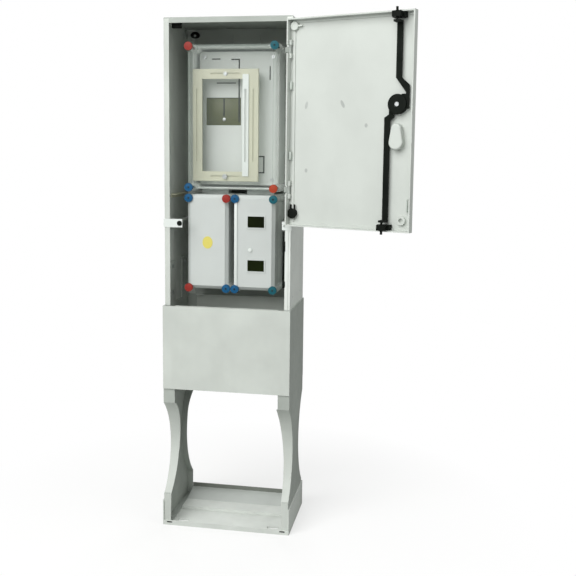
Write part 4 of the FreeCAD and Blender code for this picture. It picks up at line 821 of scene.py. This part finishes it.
    def lid_ridge(self) -> None:
        """Makes the shallow raised band along the right lid's left edge, in the white finish that is
        lighter than the lid, as a painted highlight on that edge.
        """
        low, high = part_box("right_box_cover")
        length = (low[2] + self.ridge_end, high[2] - self.ridge_end)
        shaper = Shaper("lid_ridge")
        shaper.slab(self.ridge_x, length, low[1], self.ridge_y, self.ridge_edge)
        shaper.finish(Paint.WHITE, "cabinet")

    def wall_grommet(self) -> None:
        """Makes the oval black grommet in the rear wall above the meter box."""
        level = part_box("upper_rear_wall")[0][1]
        x, z = self.grommet_place
        scale = Matrix.Diagonal((1.0, 1.0, self.grommet_squash, 1.0))
        shaper = Shaper("wall_grommet")
        shaper.stud(Vector((0, 0, 0)), self.grommet)
        shaper.move(Matrix.Translation((x, level, z)) @ scale)
        shaper.finish(Paint.BLACK, "cabinet")
        core = Shaper("grommet_core")
        right, up = self.core_shift
        core.stud(Vector((x + right, level, z + up)), self.core)
        core.finish(Paint.ZINC, "cabinet")

    def lid_button(self) -> None:
        """Makes the small white disc between the right lid's windows."""
        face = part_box("right_box_cover")[0][1]
        shaper = Shaper("lid_button")
        x, z = self.white_dot_place
        shaper.stud(Vector((x, face, z)), self.white_dot)
        shaper.finish(Paint.WHITE, "cabinet")

    def socket_shades(self) -> None:
        """Makes a dark disc on each blue cover screw, painted shade for its driver recess."""
        shaper = Shaper("knob_sockets")
        for (x, z), face in knob_places("blue_cover_screws"):
            shaper.stud(Vector((x, face, z)), self.socket)
        shaper.finish(Paint.INK, "cabinet")

    def panes(self) -> None:
        """Makes the dark panes in the right lid's two windows."""
        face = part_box("right_box_cover")[0][1]
        shaper = Shaper("window_panes")
        for foot in self.pane_feet:
            shaper.slab(self.pane_x, (foot, foot + self.pane_high), face, self.pane_y)
        shaper.finish(Paint.PANE, "cabinet", smooth=False)

    def build(self, nodes: dict) -> None:
        """Dresses the nodes and builds the pieces.

        Args:
            nodes: The frame's nodes.
        """
        dress_nodes(nodes, self.finishes)
        self.patch()
        self.window_back()
        self.lines()
        self.knob_caps()
        self.socket_shades()
        self.slot_strips()
        self.lid_ridge()
        self.wall_grommet()
        self.lid_button()
        self.panes()


def knob_places(node: str) -> list[tuple[Spot, float]]:
    """Finds the screws of one node from its loose parts.

    Args:
        node: The node's name.

    Returns:
        For each screw, its x and z and the level of its face.
    """
    data = bpy.data.objects[node].data
    work = bmesh.new()
    work.from_mesh(data)
    bmesh.ops.remove_doubles(work, verts=work.verts, dist=1e-6)
    left = set(work.verts)
    places = []
    while left:
        seed = left.pop()
        island, queue = [seed], [seed]
        while queue:
            vert = queue.pop()
            for edge in vert.link_edges:
                other = edge.other_vert(vert)
                if other in left:
                    left.remove(other)
                    island.append(other)
                    queue.append(other)
        xs = [v.co.x for v in island]
        zs = [v.co.z for v in island]
        places.append((((min(xs) + max(xs)) / 2, (min(zs) + max(zs)) / 2), min(v.co.y for v in island)))
    work.free()
    return places


@dataclass
class DoorDress:
    """The door, its lock gear and the small mouldings on its inside."""

    frame: DoorFrame
    skin_depth: float = 0.008
    rib_heights: tuple[float, ...] = (1.401, 1.195)
    rib_half: float = 0.012
    rib_x: Span = (-0.008, -0.001)
    rib_y: Span = (-0.0005, 0.0120)
    rib_edge: float = 0.001
    mark_place: Spot = (-0.186, 1.060)
    mark_half: Spot = (0.002, 0.018)
    mark_y: Span = (0.0, 0.009)
    clip_place: Spot = (0.1835, 1.0225)
    clip_head: Stud = Stud(lift=-0.0105, radius=0.0155, length=0.0040, rim=0.0012, sides=48)
    dent_thick: float = 0.0008
    dents: tuple[Dent, ...] = (
        Dent((0.1435, 1.3435), (0.0044, 0.0110), lean=-0.25),
        Dent((0.0245, 1.3450), (0.0046, 0.0120), lean=0.45),
        Dent((-0.0515, 1.2835), (0.0045, 0.0060)),
        Dent((0.142, 1.152), (0.0045, 0.0060)))
    finishes: dict[str, Paint] = field(default_factory=lambda: {
        "door": Paint.DOOR, "door_seal": Paint.DOOR, "handle_pocket": Paint.DOOR,
        "lower_hinge_clip": Paint.BLACK, "upper_hinge_clip": Paint.MOULDING,
        "handle_plate": Paint.BLACK, "lock_case": Paint.BLACK, "lock_cover": Paint.BLACK,
        "upper_rod_guide": Paint.ROD, "lower_rod_guide": Paint.ROD, "lock_gear": Paint.ZINC,
        "handle_hub": Paint.ZINC, "handle_pin": Paint.ZINC, "handle_lever": Paint.BLACK,
        "upper_rod": Paint.ROD, "lower_rod": Paint.ROD,
    })

    def skin_level(self) -> float:
        """Gives the y of the door's inner skin when shut."""
        return self.frame.pivot.y - self.skin_depth

    def ribs(self) -> None:
        """Makes the short ribs along the hinge side and the mark beside the lock side."""
        level = self.skin_level()
        edge = self.frame.pivot.x
        sides = (edge + self.rib_x[0], edge + self.rib_x[1])
        shaper = Shaper("door_ribs")
        for z in self.rib_heights:
            shaper.slab(sides, around(z, self.rib_half), level, self.rib_y, self.rib_edge)
        x, z = self.mark_place
        half_x, half_z = self.mark_half
        shaper.slab(around(x, half_x), around(z, half_z), level, self.mark_y, self.rib_edge)
        shaper.move(self.frame.turn)
        shaper.finish(Paint.MARK, "door")

    def clip_cap(self) -> None:
        """Makes the wide black head on the lower hinge clip."""
        x, z = self.clip_place
        shaper = Shaper("clip_cap")
        shaper.stud(Vector((x, self.skin_level(), z)), self.clip_head)
        shaper.move(self.frame.turn)
        shaper.finish(Paint.BLACK, "door")

    def scuffs(self) -> None:
        """Makes the four faint dents on the door's inner skin."""
        level = self.skin_level()
        shaper = Shaper("door_scuffs")
        for dent in self.dents:
            (x, z), (half_x, half_z) = dent.place, dent.half
            start = len(shaper.mesh.verts)
            shaper.disc(Vector((0, 0, 0)), radius=1.0, length=1.0, sides=24)
            shaper.mesh.verts.ensure_lookup_table()
            made = shaper.mesh.verts[start:]
            scale = Matrix.Diagonal((half_x, self.dent_thick, half_z, 1.0))
            place = Matrix.Translation((x, level, z)) @ Matrix.Rotation(dent.lean, 4, "Y") @ scale
            bmesh.ops.transform(shaper.mesh, matrix=place, verts=made)
        shaper.move(self.frame.turn)
        shaper.finish(Paint.SCUFF, "door")

    def build(self, nodes: dict) -> None:
        """Dresses the nodes and builds the pieces.

        Args:
            nodes: The frame's nodes.
        """
        dress_nodes(nodes, self.finishes)
        self.ribs()
        self.clip_cap()
        self.scuffs()


def dress_nodes(nodes: dict, finishes: dict[str, Paint]) -> None:
    """Gives each named node its finish.

    Args:
        nodes: The frame's nodes.
        finishes: Finish of each node.
    """
    for name, paint in finishes.items():
        slots = nodes[name].data.materials
        material = paint.material()
        if len(slots) == 0:
            slots.append(material)
        for index in range(len(slots)):
            slots[index] = material
    log.info("dressed %d nodes", len(finishes))


@dataclass(frozen=True)
class Lamp:
    """One soft square lamp, with its side length and its power in watts."""

    name: str
    place: tuple[float, float, float]
    side: float
    power: float


@dataclass
class Studio:
    """The floor, the lamps and the camera."""

    place: tuple[float, float, float] = (0.6527, -2.6803, 1.2047)
    yaw: float = 0.1775
    pitch: float = -0.1225
    roll: float = 0.0115
    focal_pixels: float = 857.35
    axis_row: float = 258.0
    floor_radius: float = 9.0
    target: tuple[float, float, float] = (0.1, -0.1, 0.9)
    lamps: tuple[Lamp, ...] = (
        Lamp("key", (-1.5, -3.7, 3.8), side=4.6, power=285.0),
        Lamp("fill", (1.2, -3.6, 0.9), side=2.5, power=10.0),
        Lamp("side", (2.3, -0.6, 2.3), side=1.6, power=13.0),
        Lamp("back", (0.0, 3.4, 2.6), side=2.8, power=50.0))
    sky: float = 0.30
    sky_colour: Colour = (0.97, 1.0, 0.98)
    floor_colour: Colour = (0.93, 0.93, 0.92)
    floor_glance: Colour = (0.42, 0.43, 0.42)
    floor_glow: Span = (0.55, 1.0)
    floor_fade: Span = (0.25, 1.0)

    def camera(self) -> None:
        """Sets up the photograph's viewpoint."""
        ahead = Vector((-math.sin(self.yaw) * math.cos(self.pitch),
                        math.cos(self.yaw) * math.cos(self.pitch), math.sin(self.pitch)))
        level = Vector((math.cos(self.yaw), math.sin(self.yaw), 0.0))
        over = level.cross(ahead)
        right = math.cos(self.roll) * level + math.sin(self.roll) * over
        up = -math.sin(self.roll) * level + math.cos(self.roll) * over
        turn = Matrix((right, up, -ahead)).transposed().to_4x4()
        data = bpy.data.cameras.new("viewpoint")
        data.sensor_width = SENSOR
        data.lens = self.focal_pixels * SENSOR / IMAGE_SIDE
        data.shift_y = self.axis_row / IMAGE_SIDE - 0.5
        camera = bpy.data.objects.new("viewpoint", data)
        camera.matrix_world = Matrix.Translation(self.place) @ turn
        bpy.context.scene.collection.objects.link(camera)
        bpy.context.scene.camera = camera

    def light(self, lamp: Lamp) -> None:
        """Adds a lamp that points at the cabinet.

        Args:
            lamp: The lamp.
        """
        data = bpy.data.lights.new(lamp.name, "AREA")
        data.shape = "SQUARE"
        data.size = lamp.side
        data.energy = lamp.power
        holder = bpy.data.objects.new(lamp.name, data)
        holder.location = lamp.place
        holder.rotation_mode = "QUATERNION"
        holder.rotation_quaternion = (Vector(self.target) - Vector(lamp.place)).to_track_quat("-Z", "Y")
        bpy.context.scene.collection.objects.link(holder)

    def world(self) -> None:
        """Lights the scene from all round and shows white behind it."""
        world = bpy.data.worlds.new("surround")
        world.use_nodes = True
        tree = world.node_tree
        tree.nodes.clear()
        path = tree.nodes.new("ShaderNodeLightPath")
        dim = tree.nodes.new("ShaderNodeBackground")
        dim.inputs["Color"].default_value = (*self.sky_colour, 1.0)
        dim.inputs["Strength"].default_value = self.sky
        white = tree.nodes.new("ShaderNodeBackground")
        white.inputs["Color"].default_value = (1.0, 1.0, 1.0, 1.0)
        white.inputs["Strength"].default_value = 1.0
        mix = tree.nodes.new("ShaderNodeMixShader")
        output = tree.nodes.new("ShaderNodeOutputWorld")
        direct = tree.nodes.new("ShaderNodeMath")
        direct.operation = "MAXIMUM"
        tree.links.new(path.outputs["Is Camera Ray"], direct.inputs[0])
        tree.links.new(path.outputs["Is Transmission Ray"], direct.inputs[1])
        tree.links.new(direct.outputs[0], mix.inputs[0])
        tree.links.new(dim.outputs[0], mix.inputs[1])
        tree.links.new(white.outputs[0], mix.inputs[2])
        tree.links.new(mix.outputs[0], output.inputs[0])
        bpy.context.scene.world = world

    def floor(self) -> None:
        """Lays a pale round floor that fades into the white round it."""
        work = bmesh.new()
        bmesh.ops.create_circle(work, cap_ends=True, segments=96, radius=self.floor_radius)
        data = bpy.data.meshes.new("floor")
        work.to_mesh(data)
        work.free()
        floor = bpy.data.objects.new("floor", data)
        bpy.context.scene.collection.objects.link(floor)
        nodes = Nodes("pale_floor")
        shader = nodes.add("ShaderNodeBsdfPrincipled")
        shader.inputs["Roughness"].default_value = 0.9
        shader.inputs["Specular IOR Level"].default_value = 0.1
        path = nodes.add("ShaderNodeLightPath")
        tone = nodes.blend(path.outputs["Is Camera Ray"], self.floor_glance, self.floor_colour)
        nodes.link(tone, shader.inputs["Base Color"])
        glow = nodes.add("ShaderNodeEmission")
        length = nodes.add("ShaderNodeVectorMath", operation="LENGTH")
        nodes.link(nodes.coordinates(), length.inputs[0])
        fade = nodes.spread(length.outputs["Value"], *self.floor_glow, *self.floor_fade)
        share = nodes.add("ShaderNodeMath", operation="MULTIPLY")
        nodes.link(fade, share.inputs[0])
        nodes.link(path.outputs["Is Camera Ray"], share.inputs[1])
        mix = nodes.add("ShaderNodeMixShader")
        output = nodes.add("ShaderNodeOutputMaterial")
        nodes.link(share.outputs[0], mix.inputs[0])
        nodes.link(shader.outputs["BSDF"], mix.inputs[1])
        nodes.link(glow.outputs["Emission"], mix.inputs[2])
        nodes.link(mix.outputs[0], output.inputs["Surface"])
        data.materials.append(nodes.material)

    def build(self) -> None:
        """Builds the whole studio."""
        bpy.context.scene.view_settings.view_transform = "Standard"
        self.camera()
        for lamp in self.lamps:
            self.light(lamp)
        self.world()
        self.floor()


def main() -> None:
    """Dresses the cabinet."""
    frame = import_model()
    nodes = frame["nodes"]
    Studio().build()
    Carcass().build(nodes)
    InnerBoxes().build(nodes)
    DoorDress(DoorFrame(frame["joints"])).build(nodes)
    log.info("size written")


if __name__ == "__main__":
    main()
